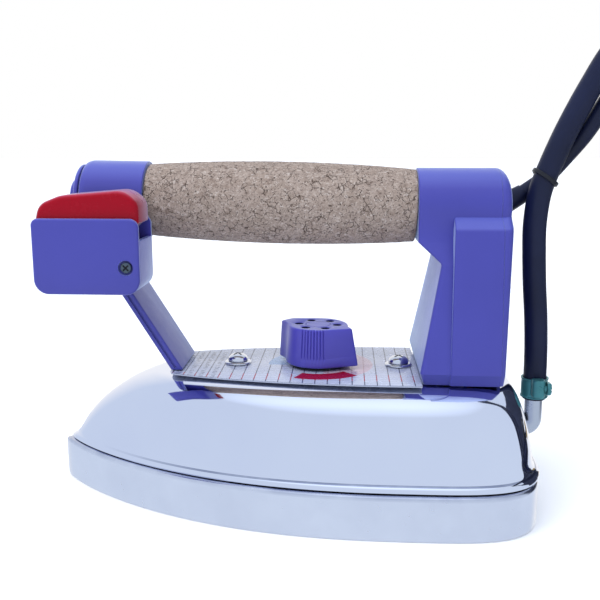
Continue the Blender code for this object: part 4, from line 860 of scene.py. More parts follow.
def coil_strap(degrees):
    """A flat strap round the hose's turns that keeps the coil together."""
    angle = math.radians(degrees)
    out, along = Vector((math.cos(angle), math.sin(angle), 0)), Vector((-math.sin(angle), math.cos(angle), 0))
    low, high, near, far, half = 0.05, 22.6, 46.6, 69.5, 3.0
    corners = ((near, low), (far, low), (far, high), (near, high))
    outer_radii, inner_radii = (3.0, 3.0, 4.5, 4.5), (2.6, 2.6, 3.9, 3.9)
    section = [(-half, 0.3, outer_radii), (-half + 0.3, 0.0, outer_radii), (half - 0.3, 0.0, outer_radii),
               (half, 0.3, outer_radii), (half, 0.8, inner_radii), (-half, 0.8, inner_radii)]
    rings = []
    for depth, inset, radii in section:
        outline = round_corners(inset_corners(corners, inset), radii, 6)
        middle = Vector((COIL_X, COIL_Y, 0)) + along * depth
        rings.append([middle + out * r + Vector((0, 0, z)) for r, z in outline])
    return dress(loft(f"coil_strap_{degrees}", rings, looped=True), "black", "black_plastic")


def make_fitting():
    """The hose's end: a crimped ferrule, a hexagon nut and a threaded nose."""
    at = Matrix.Translation((COIL_X - 50, COIL_Y + 63.4, 12.2)) @ pointing((-1, 0, 0))
    profile = [(0, 0.4), (6.6, 0.4)]
    for k in range(4):
        z = 2.3 * k
        profile += [(6.8, z + 1.0), (6.8, z + 2.2), (6.3, z + 2.5), (6.3, z + 3.1)]
    profile += [(6.8, 10.4), (9.0, 11.0), (9.0, 14.0), (7.0, 14.2), (7.0, 30.2), (9.8, 30.4)]
    profile += [(9.8, 33.0), (6.4, 33.0), (6.0, 32.4), (6.0, 27.0), (0, 27.0)]
    body = turned("fitting_body", profile, at, 56, 0.25)
    outline = ((7.2, 14.6), (11.0, 14.6), (12.0, 16.0), (12.0, 28.4), (11.0, 29.8), (7.2, 29.8))
    nut = turned("fitting_nut", outline, at, 6, 0.3, 20)
    return dress(join("hose_fitting_brass", [body, nut]), "brass", "hose_fitting", "hose_fitting")


def make_plug():
    """A two-pin mains plug with a ribbed neck and finger grips."""
    tilt = math.radians(12)
    heading = pointing((-math.cos(tilt), 0, math.sin(tilt)))
    at = Matrix.Translation(cable_tail()[-1] - Vector((0.7, 0, 0))) @ heading
    profile = [(0, 0), (5.8, 0)]
    for k in range(5):
        r, z = 6.2 + 0.55 * k, 0.8 + 2.7 * k
        profile += [(r + 0.3, z), (r + 0.4, z + 1.3), (r - 0.3, z + 1.6), (r - 0.2, z + 2.4)]
    profile += [(9.4, 15.0), (11.0, 22), (12.4, 30.5), (14.7, 36), (16.2, 39.2), (17.0, 40.6), (17.0, 51.0)]
    profile += [(16.0, 52), (0, 52)]
    body = turned("mains_plug_body", profile, at, 72, 0.6)
    dress(body, "black", "black_plastic", "mains_plug")
    pin = ((0, 0), (2.4, 0), (2.4, 8.6), (2.3, 9.0), (2.35, 9.4), (2.35, 17.6), (1.6, 19), (0, 19.4))
    face = at @ Vector((0, 0, 51.5))
    for side in (-1, 1):
        root = Matrix.Translation(face + Vector((0, side * 9.5, 0))) @ heading
        dress(turned(f"plug_pin_{side + 1}_metal", pin, root, 24, 0.2), "bright", "steel_screws")
    return body


make_cords()

# ---------------------------------------------------------------- sole, cover and plate


def sole_shape(tip, widest, rear, half_width, front=SIDE_CURVE, count=90):
    """The closed outline of an iron: pointed at the tip, square with round corners at the rear."""
    half = []
    for i in range(400):
        u = 1 - i / 400
        half.append((widest - u * (widest - tip), half_width * (1 - u ** front[0]) ** front[1], 0))
    for i in range(401):
        angle = math.pi / 2 * i / 400
        along, out = math.sin(angle) ** (2 / REAR_CURVE[0]), math.cos(angle) ** (2 * REAR_CURVE[1])
        half.append((widest + along * (rear - widest), half_width * out, 0))
    half[-1] = (rear, 0.0, 0)
    half = [(x, y) for x, y, _ in resampled(half, count)]
    return half + [(x, -y) for x, y in half[-2:0:-1]]


def inset_sole(inset, count=90):
    """The sole's outline, moved inwards."""
    tip, rear, half_width = SOLE_TIP + 1.5 * inset, SOLE_REAR - inset, SOLE_HALF_WIDTH - inset
    return sole_shape(tip, SOLE_WIDEST, rear, half_width, count=count)


def steam_hole_places():
    """Two rows of holes along each side, and two holes on the middle line."""
    places = []
    for inset, count in ((33.0, 9), (44.0, 7)):
        half = [(x, y, 0) for x, y in inset_sole(inset, 60)[:60] if y > 3 and x < 60]
        places += [(x, side * y) for x, y, _ in resampled(half, count) for side in (-1, 1)]
    return places + [(x, 0.0) for x in (-44.0, -26.0)]


def make_sole():
    top = SOLE_TOP
    levels = [*rounding(1.2, 5), (8.0, 0.0), (top - 2.0, 0.0)]
    levels += [(top - height, inset) for height, inset in rounding(1.6, 6)[::-1]]
    levels += [(top, 3.4), (top - 0.25, 3.7), (top - 0.25, 5.6), (top, 5.9), (top, 20.0)]
    sole = loft("soleplate_metal", [ring_at(inset_sole(inset), z) for z, inset in levels])
    hole = ((0, -1), (2.2, -1), (1.5, 0.7), (1.5, 7), (0, 7.8))
    places = enumerate(steam_hole_places())
    drills = [turned(f"drill_{i}", hole, Matrix.Translation((x, y, 0)), 20, 0) for i, (x, y) in places]
    cut(sole, [join("drills", drills)])
    dress(sole, "sole", "soleplate", "soleplate")


def cover_plan(z):
    """The cover's outline at a height, from a smooth curve through its levels."""
    last = len(COVER_LEVELS) - 1
    rows = [(*row, k / last) for k, row in enumerate(COVER_LEVELS)]
    rows = curve_through([rows[0], *rows, rows[-1]], 8)
    k = next((k for k in range(len(rows) - 2) if rows[k + 1][0] >= z), len(rows) - 2)
    low, high = rows[k], rows[k + 1]
    part = min(1.0, max(0.0, (z - low[0]) / (high[0] - low[0])))
    _, tip, half_width, rear, share = [a + (b - a) * part for a, b in zip(low, high)]
    front = (SIDE_CURVE[0] + 1.17 * share, SIDE_CURVE[1] - 0.35 * share)
    return sole_shape(tip, SOLE_WIDEST - 22.0 * share, rear, half_width, front)


def pulled_in(outline, distance):
    """A dense outline moved inwards along its own normals."""
    count = len(outline)
    result = []
    for i in range(count):
        before, after = Vector(outline[i - 2]), Vector(outline[(i + 2) % count])
        along = (after - before).normalized()
        normal = Vector((along.y, -along.x))
        inward = normal if normal.dot(Vector((20, 0)) - Vector(outline[i])) > 0 else -normal
        result.append(tuple(Vector(outline[i]) + inward * distance))
    return result


def make_cover():
    bead = ((-0.35, 1.3), (-0.25, 2.0), (0.15, 2.45), (0.9, 2.6), (1.6, 2.35), (2.1, 1.75), (2.6, 1.05),
            (3.4, 0.5), (4.6, 0.15))
    rings = []
    for lift, out in bead:
        z = COVER_BOTTOM + lift
        rings.append(ring_at(pulled_in(cover_plan(z), -out), z))
    low, shoulder = COVER_BOTTOM + 6.0, 52.0
    heights = [low + (shoulder - low) * k / 16 for k in range(17)]
    heights += [shoulder + (COVER_TOP - shoulder) * math.sin(math.pi / 2 * k / 16) for k in range(1, 17)]
    rings += [ring_at(cover_plan(z), z) for z in heights]
    rings.append(ring_at(pulled_in(cover_plan(COVER_TOP), 9), COVER_TOP))
    cover = loft("chromed_cover_shell", rings, (False, True))
    wall = cover.modifiers.new("sheet", "SOLIDIFY")
    wall.thickness, wall.offset = 0.9 * MM, -1
    settle(cover)
    on_pipe = Matrix.Translation((0, 0, PIPE_Z)) @ ALONG_X
    pipe_drill = drill("pipe_drill", PIPE_RADIUS + 0.9, 106, 126, on_pipe)
    cut(cover, [pipe_drill, drill("spindle_drill", 5, 50, 62, AT_KNOB)])
    dress(cover, "chrome", "chromed_cover", "chromed_cover")
    bore, neck, flange = PIPE_RADIUS + 0.1, PIPE_RADIUS + 0.8, PIPE_RADIUS + 2.4
    section = ((bore, 115.6), (neck, 115.6), (neck, 118.0), (flange, 118.0), (flange, 119.6), (bore, 119.8))
    dress(turned("pipe_grommet", section, on_pipe, 40, 0.5), "black", "black_plastic")


def plate_outline(inset):
    """The instruction plate's outline: clipped corners in front, bowed sides, a straight rear."""
    low, high = PLATE_FRONT + 2.5, PLATE_REAR
    xs = [low + (high - low) * (i / 60) ** 1.3 for i in range(61)]
    side = [(x, PLATE_HALF_WIDTH * math.sqrt(1 - ((PLATE_CENTRE - x) / PLATE_LENGTH) ** 2)) for x in xs]
    side = [(PLATE_FRONT, side[0][1] - 4.0), (PLATE_FRONT + 0.8, side[0][1] - 1.4)] + side
    side = [(min(max(x, PLATE_FRONT + inset), PLATE_REAR - inset), y - inset) for x, y in side]
    return side + [(x, -y) for x, y in side[::-1]]


def make_plate():
    low, top = PLATE_BOTTOM, PLATE_TOP
    levels = ((low, 0.15), (low + 0.15, 0.0), (top - 0.2, 0.0), (top - 0.06, 0.06), (top, 0.2))
    plate = loft("instruction_plate_sheet", [ring_at(plate_outline(inset), z) for z, inset in levels])
    cut(plate, [drill("plate_drill", 5, 50, 62, AT_KNOB)])
    dress(plate, "plate", "instruction_plate", "instruction_plate")
    # Painted shade: a dark ring in the gap under the knob, standing in for the shade that the knob casts on
    # the plate.
    section = ((5.4, 59.7), (13.2, 59.7), (13.2, 60.3), (12.4, 60.9), (5.4, 60.9))
    dress(turned("knob_gap_shade_ring", section, AT_KNOB, 64, 0.2), "knob_gap_shade", "black_plastic")
    ring = ((3.4, 0.3), (6.5, 0.3), (6.5, 0.8), (5.8, 1.35), (3.4, 1.35))
    turns = [math.pi / 2 * k / 10 for k in range(1, 10)]
    dome = [(4.9 * math.cos(turn), 1.9 + 3.1 * math.sin(turn)) for turn in turns]
    dome = [(0, 1.5), (4.9, 1.5), (4.9, 1.9), *dome, (0, 5.0)]
    for where, x in zip(("front", "rear"), PLATE_SCREWS):
        at = Matrix.Translation((x, 0, top))
        washer = turned(f"plate_washer_{where}_ring", ring, at, 56, 0.25)
        dress(washer, "bright", "plate_screws", f"plate_washer_{where}")
        screw = turned(f"plate_screw_{where}_dome", dome, at, 56, 0.15)
        cut(screw, cross(at, 5.0, 2.6, 0.5, 1.5))
        dress(screw, "bright", "plate_screws", f"plate_screw_{where}")


def cross(head, at, reach, half_width, depth, edge=0.15):
    """Two crossed bars, centred so far up a screw head's axis."""
    bars = []
    for k in range(2):
        bar = block(f"bar_{k}", (-reach, -half_width, -depth), (reach, half_width, depth), edge)
        turn = Matrix.Rotation(math.pi * (0.25 + k / 2), 4, "Z")
        bar.data.transform(in_metres(head @ Matrix.Translation((0, 0, at)) @ turn))
        bars.append(bar)
    return bars


make_sole()
make_cover()
make_plate()

# ---------------------------------------------------------------- knob


def knob_outline(flare, inset, ribs):
    """The knob's plan: flare is 1 at its foot, and ribs is the depth of the grooves on the viewer's side."""
    radius = KNOB_RADIUS + KNOB_FLARE * flare - inset

    def arc(start, end, count):
        made = []
        for k in range(count):
            degrees = start + (end - start) * k / (count - 1)
            near = min(abs(degrees - (241.5 + 5.75 * g)) for g in range(8))
            r = radius - ribs * max(0.0, 1 - (near / 1.35) ** 2)
            made.append((r * math.cos(math.radians(degrees)), r * math.sin(math.radians(degrees))))
        return made

    right_tip = (16.4 + 3.2 * flare - 1.2 * inset, -9.3 + 0.5 * inset)
    left_near = (-18.4 - 1.2 * flare + 1.2 * inset, 7.8 + 1.2 * flare)
    left_far = (-13.9 - 0.6 * flare + 0.7 * inset, 13.6 + 1.2 * flare - inset)
    crease = (-15.0 - 1.1 * flare + inset, 2.4 + 0.4 * flare)
    near_arc, far_arc = arc(193, 283, 181), arc(-9, 95, 40)
    return [*near_arc, *bend(near_arc[-1], right_tip, far_arc[0], 1.0, 4), *far_arc,
            *bend(far_arc[-1], left_far, left_near, 1.0, 4), *bend(left_far, left_near, crease, 0.8, 4),
            *bend(left_near, crease, near_arc[0], 3.0, 8)]


def make_knob():
    span = KNOB_TOP - KNOB_BOTTOM
    levels = [(0.0, 0.5, 0.0), (0.25, 0.12, 0.0), (0.8, 0.0, 0.0), (3.6, 0.0, 0.0), (4.2, 0.0, 0.35)]
    levels += [(height, 0.0, 0.6) for height in (4.8, 8.0, 11.0, 14.0, span - 0.7)]
    levels += [(span - 0.4, 0.1, 0.5), (span - 0.15, 0.3, 0.35), (span, 0.65, 0.1), (span, 1.0, 0.0)]
    rings = []
    for height, inset, ribs in levels:
        outline = knob_outline(1 - height / span, inset, ribs)
        rings.append([(KNOB_X + x, y, KNOB_BOTTOM + height) for x, y in outline])
    knob = loft("temperature_knob_body", rings, sharp=50)
    cutters = [drill("knob_bore", 3.3, 60, 74.5, AT_KNOB)]
    hole = ((0, 1), (2.3, 1), (2.3, 0.0), (2.05, -0.2), (2.0, -3.4), (0, -3.4))
    for k in range(6):
        angle = math.radians(60 * k - 7)
        at = Matrix.Translation((KNOB_X + 9.3 * math.cos(angle), 9.3 * math.sin(angle), KNOB_TOP))
        cutters.append(turned(f"knob_hole_{k}", hole, at, 28, 0))
    ring = ((6.35, 1), (6.2, -0.3), (5.9, -0.3), (5.75, 1))
    cutters.append(turned("knob_ring", ring, Matrix.Translation((KNOB_X, 0, KNOB_TOP)), 64, 0))
    cut(knob, cutters, sharp=50)
    dress(knob, "knob", "temperature_knob", "temperature_knob", body="knob")


make_knob()

# ---------------------------------------------------------------- handle and front support


def make_grip():
    """A swelling cork tube with an uneven skin."""
    rows, steps, end = 90, 128, GRIP_END_RADIUS
    length = GRIP_REAR - GRIP_FRONT
    profile = [(end - 1.4, 0.0), (end - 0.35, 0.12)]
    for k in range(rows + 1):
        share = k / rows
        radius = end + (GRIP_MID_RADIUS - end) * math.sin(math.pi * share) ** 0.8
        profile.append((radius, 0.5 + (length - 1.0) * share))
    profile += [(end - 0.35, length - 0.12), (end - 1.4, length), (6.5, length), (6.5, 0.0)]
    rings = []
    for r, height in profile:
        ring = []
        for k in range(steps):
            angle = 2 * math.pi * k / steps
            point = Vector((r * math.cos(angle), r * math.sin(angle), GRIP_FRONT + height))
            if r > 10:
                rough = noise.noise(point * 0.55) * 0.16 + noise.noise(point * 1.4) * 0.09
                point -= Vector((math.cos(angle), math.sin(angle), 0)) * max(-0.05, rough)
            ring.append(HANDLE @ ALONG_X @ point)
        rings.append(ring)
    dress(loft("cork_grip_turned", rings, looped=True, sharp=50), "cork", "cork_grip", "cork_grip")


def strap_line(at):
    """The point so far up the middle of the front strap, from its foot."""
    foot, top = Vector((STRAP_FOOT[0], 0, STRAP_FOOT[1])), Vector((STRAP_TOP[0], 0, STRAP_TOP[1]))
    return foot + (top - foot).normalized() * at


def make_front_support():
    along = Vector(STRAP_FOOT) - Vector(STRAP_TOP)
    half = STRAP_THICKNESS / 2 * along.length / abs(along.y)
    (top_x, top_z), (foot_x, foot_z), side = STRAP_TOP, STRAP_FOOT, STRAP_WIDTH / 2
    corners = ((foot_x - half, foot_z), (foot_x + half, foot_z), (top_x + half, top_z), (top_x - half, top_z))
    strap = slab("front_support_moulding", corners, (0.6,) * 4, -side, side, (0.9, 0.9), "Y", 4)
    rim, front, edge = GRIP_FRONT - GAP, BOSS_FRONT, BOSS_RADIUS
    profile = ((0, rim), (15.6, rim), (edge - 0.3, rim), (edge, rim - 0.35), (edge, front + 3.4),
               (edge - 0.8, front + 1.0), (edge - 3, front), (0, front))
    cut(strap, [turned("boss", profile, HANDLE @ ALONG_X, 96, 1.0)], "UNION")
    low, high = strap_line(1.5), strap_line(48)
    outline = ((low.x - 0.7, low.z), (low.x + 0.7, low.z), (high.x + 0.7, high.z), (high.x - 0.7, high.z))
    grooves = [slab(f"strap_groove_{k}", outline, (0.2,) * 4, middle - 0.9, middle + 0.9, (0.1, 0.1), "Y", 2)
               for k, middle in enumerate((-side, side))]
    cut(strap, grooves, sharp=30)
    dress(strap, "violet", "violet_plastic", "front_support")
    disc = ((0, 4.0), (8.4, 4.0), (8.4, -GAP), (16.0, -GAP), (16.0, -1.6), (15.0, -2.5), (10.2, -2.6),
            (9.5, -3.0), (9.3, -5.2), (8.2, -6.3), (0, -6.3))
    at = HANDLE @ Matrix.Translation((BOSS_FRONT, 0, 0)) @ ALONG_X
    cap = turned("boss_end_cap_disc", disc, at, 96, 0.7)
    dress(cap, "violet", "violet_plastic", "boss_end_cap")


make_grip()
make_front_support()

# ---------------------------------------------------------------- switch box and trigger

BOX_RADII = (6.5, 6.5, 4.0, 3.0)


def box_corners(inset=0.0):
    """The switch box's corners in XZ."""
    low, high = BOX_BOTTOM + inset, BOX_TOP - inset
    left, right = BOX_LEFT + inset, BOX_RIGHT - inset
    return ((left, low), (right, low), (right, high), (left, high))


def make_box():
    outline, (x, z) = box_corners(), COVER_SCREW
    cover = slab("switch_box_cover_moulding", outline, BOX_RADII, BOX_FACE, BOX_JOINT, (1.1, 0.15), "Y", 12)
    well = ((0, 1), (3.5, 1), (3.3, 0), (3.2, -1.5), (0, -1.5))
    cut(cover, [turned("cover_well", well, Matrix.Translation((x, BOX_FACE, z)) @ TOWARDS_VIEWER, 48, 0)])
    dress(cover, "violet", "violet_plastic", "switch_box_cover")
    at = Matrix.Translation((x, BOX_FACE + 1.2, z)) @ TOWARDS_VIEWER
    head = turned("box_cover_screw_head", ((0, 0), (2.5, 0), (2.5, 0.5), (2.0, 1.05), (0, 1.25)), at, 40, 0.3)
    cut(head, cross(at, 1.3, 1.7, 0.38, 0.8))
    dress(head, "box_screw", "box_cover_screw", "box_cover_screw")
    # Painted shade: a thin black cross laid in the bottom of the screw's cross recess, to darken it.
    dress(join("box_screw_recess_shade", cross(at, 0.65, 1.62, 0.3, 0.13, 0.08)), "black", "box_cover_screw")
    front, back = BOX_JOINT + GAP, BOX_BACK - 2.2
    housing = slab("switch_box_housing_moulding", outline, BOX_RADII, front, BOX_BACK, (0.15, 0.8), "Y", 12)
    inner_radii = [r - 1.8 for r in BOX_RADII]
    inside = slab("inside", box_corners(2.2), inner_radii, BOX_JOINT - 1, back, (0.2, 0.2), "Y", 6)
    top_slot = block("top_slot", (BOX_LEFT + 0.8, BOX_JOINT - 1, 124.6), (BOX_RIGHT + 2, back, 140), 0.2)
    notch = block("notch", (-58, BOX_JOINT - 1.5, 124.0), (BOX_RIGHT + 2.5, back - 0.05, 141), 0.2)
    cut(housing, [inside, top_slot, notch])
    dress(housing, "violet", "violet_plastic", "switch_box_housing")


def make_trigger():
    front, back, floor = TRIGGER_FRONT_Y, TRIGGER_BACK_Y, TRIGGER_FLOOR
    corners = ((-98.4, floor), (-62.0, floor), (-56.4, 130.4), (-54.0, 131.4), (-54.0, 140.2),
               (-60.2, 145.5), (-88.0, 143.2), (-97.4, 139.4), (-99.4, 131.8))
    radii = (1.0, 2.0, 1.0, 0.8, 6.5, 9.0, 16.0, 7.0, 4.0)
    trigger = slab("steam_trigger_moulding", corners, radii, front, back, (2.2, 2.2), "Y", 8, 50)
    at = Matrix.Translation((PIVOT_X, (front + back) / 2, PIVOT_Z)) @ TOWARDS_VIEWER
    hub = turned("hub", ((1.7, -10), (4.2, -10), (4.2, 10), (1.7, 10)), at, 40, 0.3)
    cut(trigger, [hub], "UNION", 50)
    seat = block("spring_seat", (-75.0, -40.6, floor - 1), (-65.0, -32.0, floor + 3.6), 0.2)
    cut(trigger, [seat], sharp=50)
    dress(trigger, "red", "steam_trigger", "steam_trigger", body="trigger")


make_box()
make_trigger()

# ---------------------------------------------------------------- rear tower


def tower_levels():
    """(z, front x, rear x, half width, front corner radius, rear corner radius)"""
    levels = [
        (TOWER_BASE, 69.8, 105.4, 30.0, 2.0, 2.5), (64.5, 68.1, 105.6, 33.0, 2.0, 2.5),
        (88.0, 72.5, 106.4, 28.4, 2.0, 3.0), (111.8, 76.9, 107.3, 23.9, 2.0, 3.0),
        (112.6, 76.6, 107.3, 23.6, 2.0, 3.0), (117.0, 71.8, 107.5, 21.3, 1.8, 3.2),
        (121.4, 67.0, 107.7, 19.4, 1.5, 3.5), (122.2, 66.9, 107.8, 19.1, 1.5, 3.5),
        (126.0, 66.9, 108.0, 18.3, 1.5, 3.8), (129.5, 66.9, 108.2, COLLAR_RADIUS + 0.05, 1.5, 4.0),
    ]
    pull = ((0, 0), (12, 0.05), (25, 0.25), (36, 0.6), (47, 1.2), (57, 1.9), (66, 2.7), (74, 3.6), (81, 4.6),
            (85.5, 5.6))
    for angle, back in pull:
        up, out = COLLAR_RADIUS * math.sin(math.radians(angle)), COLLAR_RADIUS * math.cos(math.radians(angle))
        levels.append((COLLAR_Z + up, 66.9, 108.6 - back, out, 1.2, 4.0))
    return levels


def panel_levels():
    """The tower's side panels, as levels of the same form."""
    return [(TOWER_BASE, 81.4, 105.4, 31.4, 1.0, 2.5), (64.5, 81.4, 105.6, 33.9, 1.0, 2.5),
            (127.0, 82.4, 108.0, 25.3, 1.0, 3.0), (127.8, 82.4, 108.0, 25.0, 1.0, 3.0),
            (128.6, 82.5, 108.1, 24.1, 1.0, 3.0), (133.4, 82.7, 108.3, 17.0, 1.0, 3.0)]


def tower_skin(name, levels, inset=0.0):
    """A solid through the levels, moved inwards where an inset is given."""
    rings = []
    for z, front, rear, half, front_r, rear_r in levels:
        half = max(half - inset, 1.2)
        front_r, rear_r = (min(max(radius - inset, 0.6), half * 0.95) for radius in (front_r, rear_r))
        corners = ((front + inset, -half), (rear - inset, -half), (rear - inset, half), (front + inset, half))
        rings.append(ring_at(round_corners(corners, (front_r, rear_r, rear_r, front_r), 8), z))
    return loft(name, rings, sharp=30)


def tower_inside():
    """The tower's hollow, open below and behind."""
    levels = []
    for z, front, rear, *rest in tower_levels()[:14]:
        drop = 3 if z == TOWER_BASE else 1.6 if z > COLLAR_Z else 0
        levels.append((z - drop, front, rear + 20, *rest))
    return tower_skin("tower_inside", levels, 2.4)


def make_tower():
    tower = tower_skin("rear_tower_moulding", tower_levels())
    cut(tower, [tower_skin("tower_panels", panel_levels())], "UNION")
    behind = block("behind", (TOWER_SPLIT, -60, 40), (140, 60, 170), 0.2)
    cut(tower, [tower_inside(), behind], sharp=28)
    dress(tower, "violet", "violet_plastic", "rear_tower_housing")
    cover = tower_skin("rear_tower_cover_moulding", tower_levels())
    cut(cover, [tower_skin("cover_panels", panel_levels())], "UNION")
    sleeve = Matrix.Translation(CABLE_EXIT - CABLE_HEADING * 14) @ pointing(CABLE_HEADING)
    cutters = [block("front", (40, -60, 40), (TOWER_SPLIT + 0.12, 60, 170), 0.2),
               drill("sleeve_drill", 5.2, 0, 22, sleeve, 40)]
    well = ((0, 8), (3.5, 8), (3.4, 0), (0, 0))
    for i, place in enumerate(REAR_SCREWS):
        cutters.append(turned(f"rear_well_{i}", well, Matrix.Translation(place) @ ALONG_X, 36, 0))
    cut(cover, cutters, sharp=28)
    dress(cover, "violet", "violet_plastic", "rear_tower_cover")
    dome = ((0, 0), (2.9, 0), (2.9, 0.4), (2.2, 0.9), (0, 1.05))
    for i, (x, y, z) in enumerate(REAR_SCREWS, 1):
        at = Matrix.Translation((x + 0.15, y, z)) @ ALONG_X
        head = turned(f"rear_cover_screw_{i}_head", dome, at, 40, 0.25)
        cut(head, cross(at, 1.1, 1.8, 0.4, 0.7))
        dress(head, "steel", "steel_screws", f"rear_cover_screw_{i}")


make_tower()

# ---------------------------------------------------------------- pipe, clamp, sleeve and ties


def make_pipe():
    bend_radius = 4.6
    turn = PIPE_X - bend_radius
    route = [(96, 0, PIPE_Z), (108, 0, PIPE_Z), (turn - 2, 0, PIPE_Z)]
    for k in range(9):
        angle = math.pi / 2 * k / 8
        route.append((turn + bend_radius * math.sin(angle), 0, PIPE_Z + bend_radius * (1 - math.cos(angle))))
    route += [(PIPE_X, 0, 37.0), (PIPE_X, 0, PIPE_END)]
    pipe = sweep("steam_inlet_pipe_tube", route, PIPE_RADIUS, 40)
    dress(pipe, "pipe", "steam_inlet_pipe", "steam_inlet_pipe")


def make_clamp():
    low, high, x = CLAMP_BOTTOM, CLAMP_TOP, PIPE_X
    middle, inner = (low + high) / 2, HOSE_DIAMETER / 2 + 0.25
    section = ((inner, low), (6.5, low), (6.5, low + 0.5), (6.2, low + 0.9),
               (6.2, high - 0.9), (6.5, high - 0.5), (6.5, high), (inner, high))
    band = turned("hose_clamp_band", section, Matrix.Translation((x, 0, 0)), 72, 0.15)
    slots = []
    for k in range(18):
        around = Matrix.Rotation(math.radians(15 * k - 60), 4, "Z")
        lean = Matrix.Rotation(math.radians(12), 4, "X")
        slot = block(f"band_slot_{k}", (-0.25, -0.42, -2.5), (0.6, 0.42, 2.5), 0.15)
        place = Matrix.Translation((x, 0, middle)) @ around @ Matrix.Translation((6.3, 0, 0)) @ lean
        slot.data.transform(in_metres(place))
        slots.append(slot)
    cut(band, [join("band_slots", slots)])
    corners = ((x - 3.1, -11.2), (x + 3.0, -11.2), (x + 3.0, -5.6), (x - 3.1, -5.6))
    housing = slab("clamp_housing", corners, (2.2, 2.2, 0.4, 0.4), low + 2, high + 1, (0.8, 0.8))
    at = Matrix.Translation((x, -8.8, middle + 1.6)) @ ALONG_X
    cut(housing, [drill("worm_drill", 1.9, -1, 8, at, 24)])
    dress(join("hose_clamp_worm_drive", [band, housing]), "clamp", "hose_clamp", "hose_clamp")
    outline = ((0, -2), (1.6, -2), (1.6, 3.6), (3.3, 3.6), (3.3, 5.0), (2.8, 5.7), (0, 5.7))
    screw = turned("hose_clamp_screw_hex", outline, at, 6, 0.25, 20)
    cut(screw, [block("screw_slot", (x + 4.9, -14, middle + 1.2), (x + 7, -4, middle + 2.0), 0.1)], sharp=20)
    dress(screw, "clamp", "hose_clamp", "hose_clamp_screw")


def make_sleeve():
    bore = CABLE_DIAMETER / 2 + 0.15
    at = Matrix.Translation(CABLE_EXIT) @ pointing(CABLE_HEADING)
    profile = ((bore, 11.0), (bore + 0.3, 11.0), (bore + 0.55, 8.0), (bore + 0.9, 1.8), (bore + 1.0, 0.6),
               (bore + 0.9, -1.0), (bore + 0.8, -9.5), (bore, -9.5))
    sleeve = turned("cable_strain_relief_sleeve", profile, at, 40, 0.3)
    dress(sleeve, "cable", "black_plastic", "cable_strain_relief")


def make_ties():
    hose = [Vector(point) for point in HOSE_ROUTE]
    cable = cable_path()
    for name, index in (("cable_tie_front", 8), ("cable_tie_rear", 18)):
        centre = hose[index]
        near = min(range(1, 260), key=lambda k: (cable[k] - centre).length)
        along = (hose[index + 1] - hose[index - 1]).normalized()
        along = (along + (cable[near + 1] - cable[near - 1]).normalized()).normalized()
        across = cable[near] - centre
        across -= along * across.dot(along)
        tie_band(name, centre, along, across.normalized(), across.length)


def tie_band(name, centre, along, across, reach):
    """A stadium-shaped band, round the hose on one side and round the cable on the other."""
    hose_r, cable_r = HOSE_DIAMETER / 2 + 0.25, CABLE_DIAMETER / 2 + 0.25
    half, thickness, edge = 1.0, 1.1, 0.3
    lean = math.asin((hose_r - cable_r) / reach)
    side, span, quarter = along.cross(across), math.pi + 2 * lean, math.pi / 2
    section = [(-half + edge, 0.0), (-half, edge), (-half, thickness - edge), (-half + edge, thickness)]
    section += [(-lift, extra) for lift, extra in section[::-1]]
    rings = []
    for lift, extra in section:
        ring = []
        ends = ((quarter, 32, 0, hose_r + extra), (-quarter, 24, reach, cable_r + extra))
        for start, steps, middle, r in ends:
            turns = [start - lean + span * k / steps for k in range(steps + 1)]
            ring += [(middle + r * math.cos(turn), r * math.sin(turn)) for turn in turns]
        rings.append([centre + across * a + side * b + along * lift for a, b in ring])
    dress(loft(name + "_band", rings, looped=True), "black", "black_plastic", name)


make_pipe()
make_clamp()
make_sleeve()
make_ties()

# ---------------------------------------------------------------- the nodes that keep their CAD shape

KEPT = {
    "steel": ("front_support_screw", "handle_tie_rod", *(f"lid_screw_{k}" for k in (1, 2, 3, 4)),
              "switch_box_screw", "tie_rod_nut_front", "tie_rod_nut_rear", "tower_screw_left",
              "tower_screw_right", "trigger_pivot_pin", "trigger_spring", "cover_pillar_front",
              "cover_pillar_rear"),
    "element": ("heating_element",),
    "lid": ("steam_chamber_lid",),
    "gasket": ("chamber_gasket",),
    "brass": ("thermostat_spindle",),
    "ceramic": ("terminal_block", "thermostat_body"),
    "black": ("microswitch_body",),
    "red_small": ("microswitch_plunger",),
    "lead": ("element_lead_left", "element_lead_right", "microswitch_lead"),
    "fibre": ("insulation_blanket",),
}
for look, names in KEPT.items():
    for name in names:
        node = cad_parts[name]
        node.data.materials.clear()
        node.data.materials.append(LOOKS[look])

# ---------------------------------------------------------------- floor, card and light


def stage_sheet(name, corners, look):
    """A flat sheet that lights or fills the picture and isn't part of the object."""
    mesh = bpy.data.meshes.new(name)
    mesh.from_pydata(corners, [], [(0, 1, 2, 3)])
    mesh.materials.append(look.material)
    return link(bpy.data.objects.new(name, mesh))


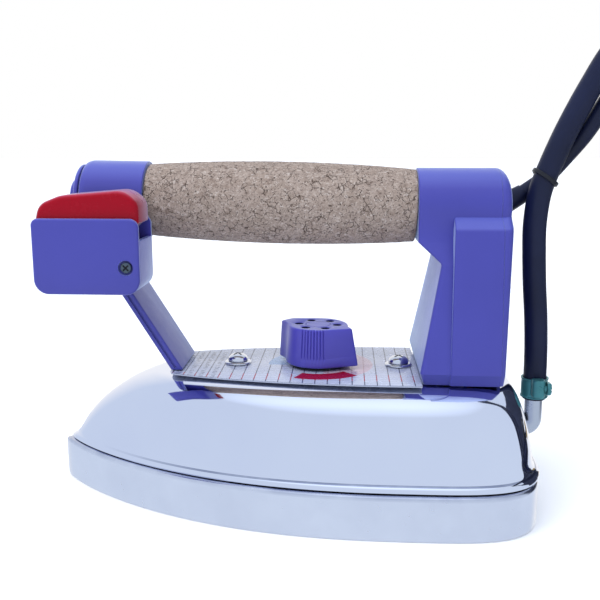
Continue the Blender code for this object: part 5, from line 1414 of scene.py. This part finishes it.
def make_floor():
    look = Look("studio_floor")
    look.colour(look.mottled(3, 3, (0.93, 0.93, 0.95), (0.96, 0.96, 0.97)))
    look.set("Roughness", look.noise(6, 3).ramp(0.3, 0.7, 0.6, 0.7))
    half = 9.0
    corners = [(-half, -half, 0), (half, -half, 0), (half, half, 0), (-half, half, 0)]
    floor = stage_sheet("floor", corners, look)
    floor.visible_glossy = False


def make_dark_card():
    """A navy card out of view on the right, for the chrome's rear corner to reflect."""
    look = Look("dark_card")
    look.colour(look.mottled(5, 3, (0.006, 0.008, 0.022), (0.016, 0.020, 0.045)))
    look.set("Roughness", look.noise(9, 2).ramp(0.3, 0.7, 0.7, 0.8))
    near, far, top = Vector((0.80, 0.03, 0.0)), Vector((0.52, 0.52, 0.0)), Vector((0, 0, 0.62))
    card = stage_sheet("dark_card", [near, far, far + top, near + top], look)
    card.visible_camera = card.visible_shadow = card.visible_diffuse = False


def make_light(name, kind, power):
    """A light that the chrome doesn't mirror."""
    data = bpy.data.lights.new(name, kind)
    data.energy = power
    light = link(bpy.data.objects.new(name, data))
    light.visible_glossy = False
    return light


def make_lights():
    sun = make_light("soft_top", "SUN", 1.9)
    sun.data.angle = math.radians(70)
    sun.rotation_euler = (math.radians(12), math.radians(-8), 0)
    key = make_light("key", "AREA", 6.0)
    key.data.shape, key.data.size, key.data.size_y = "RECTANGLE", 0.9, 0.9
    key.location = (-0.9, -0.6, 1.1)
    key.rotation_euler = (Vector((0, 0, 0.08)) - key.location).to_track_quat("-Z", "Y").to_euler()


def make_world():
    """A pale studio: bluish grey in front, white behind, brighter overhead."""
    sky = Sky("studio")
    _, behind, up = sky.split(sky.place("Generated"))
    sky.set("Color", sky.mix(behind.ramp(0.45, 0.85), (0.66, 0.745, 0.88), (1.0, 1.0, 1.0)))
    sky.set("Strength", up.ramp(0.90, 1.0, 1.0, 1.5))
    bpy.context.scene.world = sky.world


make_dark_card()
make_floor()
make_lights()
make_world()
settings = bpy.context.scene.view_settings
settings.view_transform = "Standard"
settings.look = "None"
settings.exposure = 0.0

# ---------------------------------------------------------------- last update

bpy.context.view_layer.update()
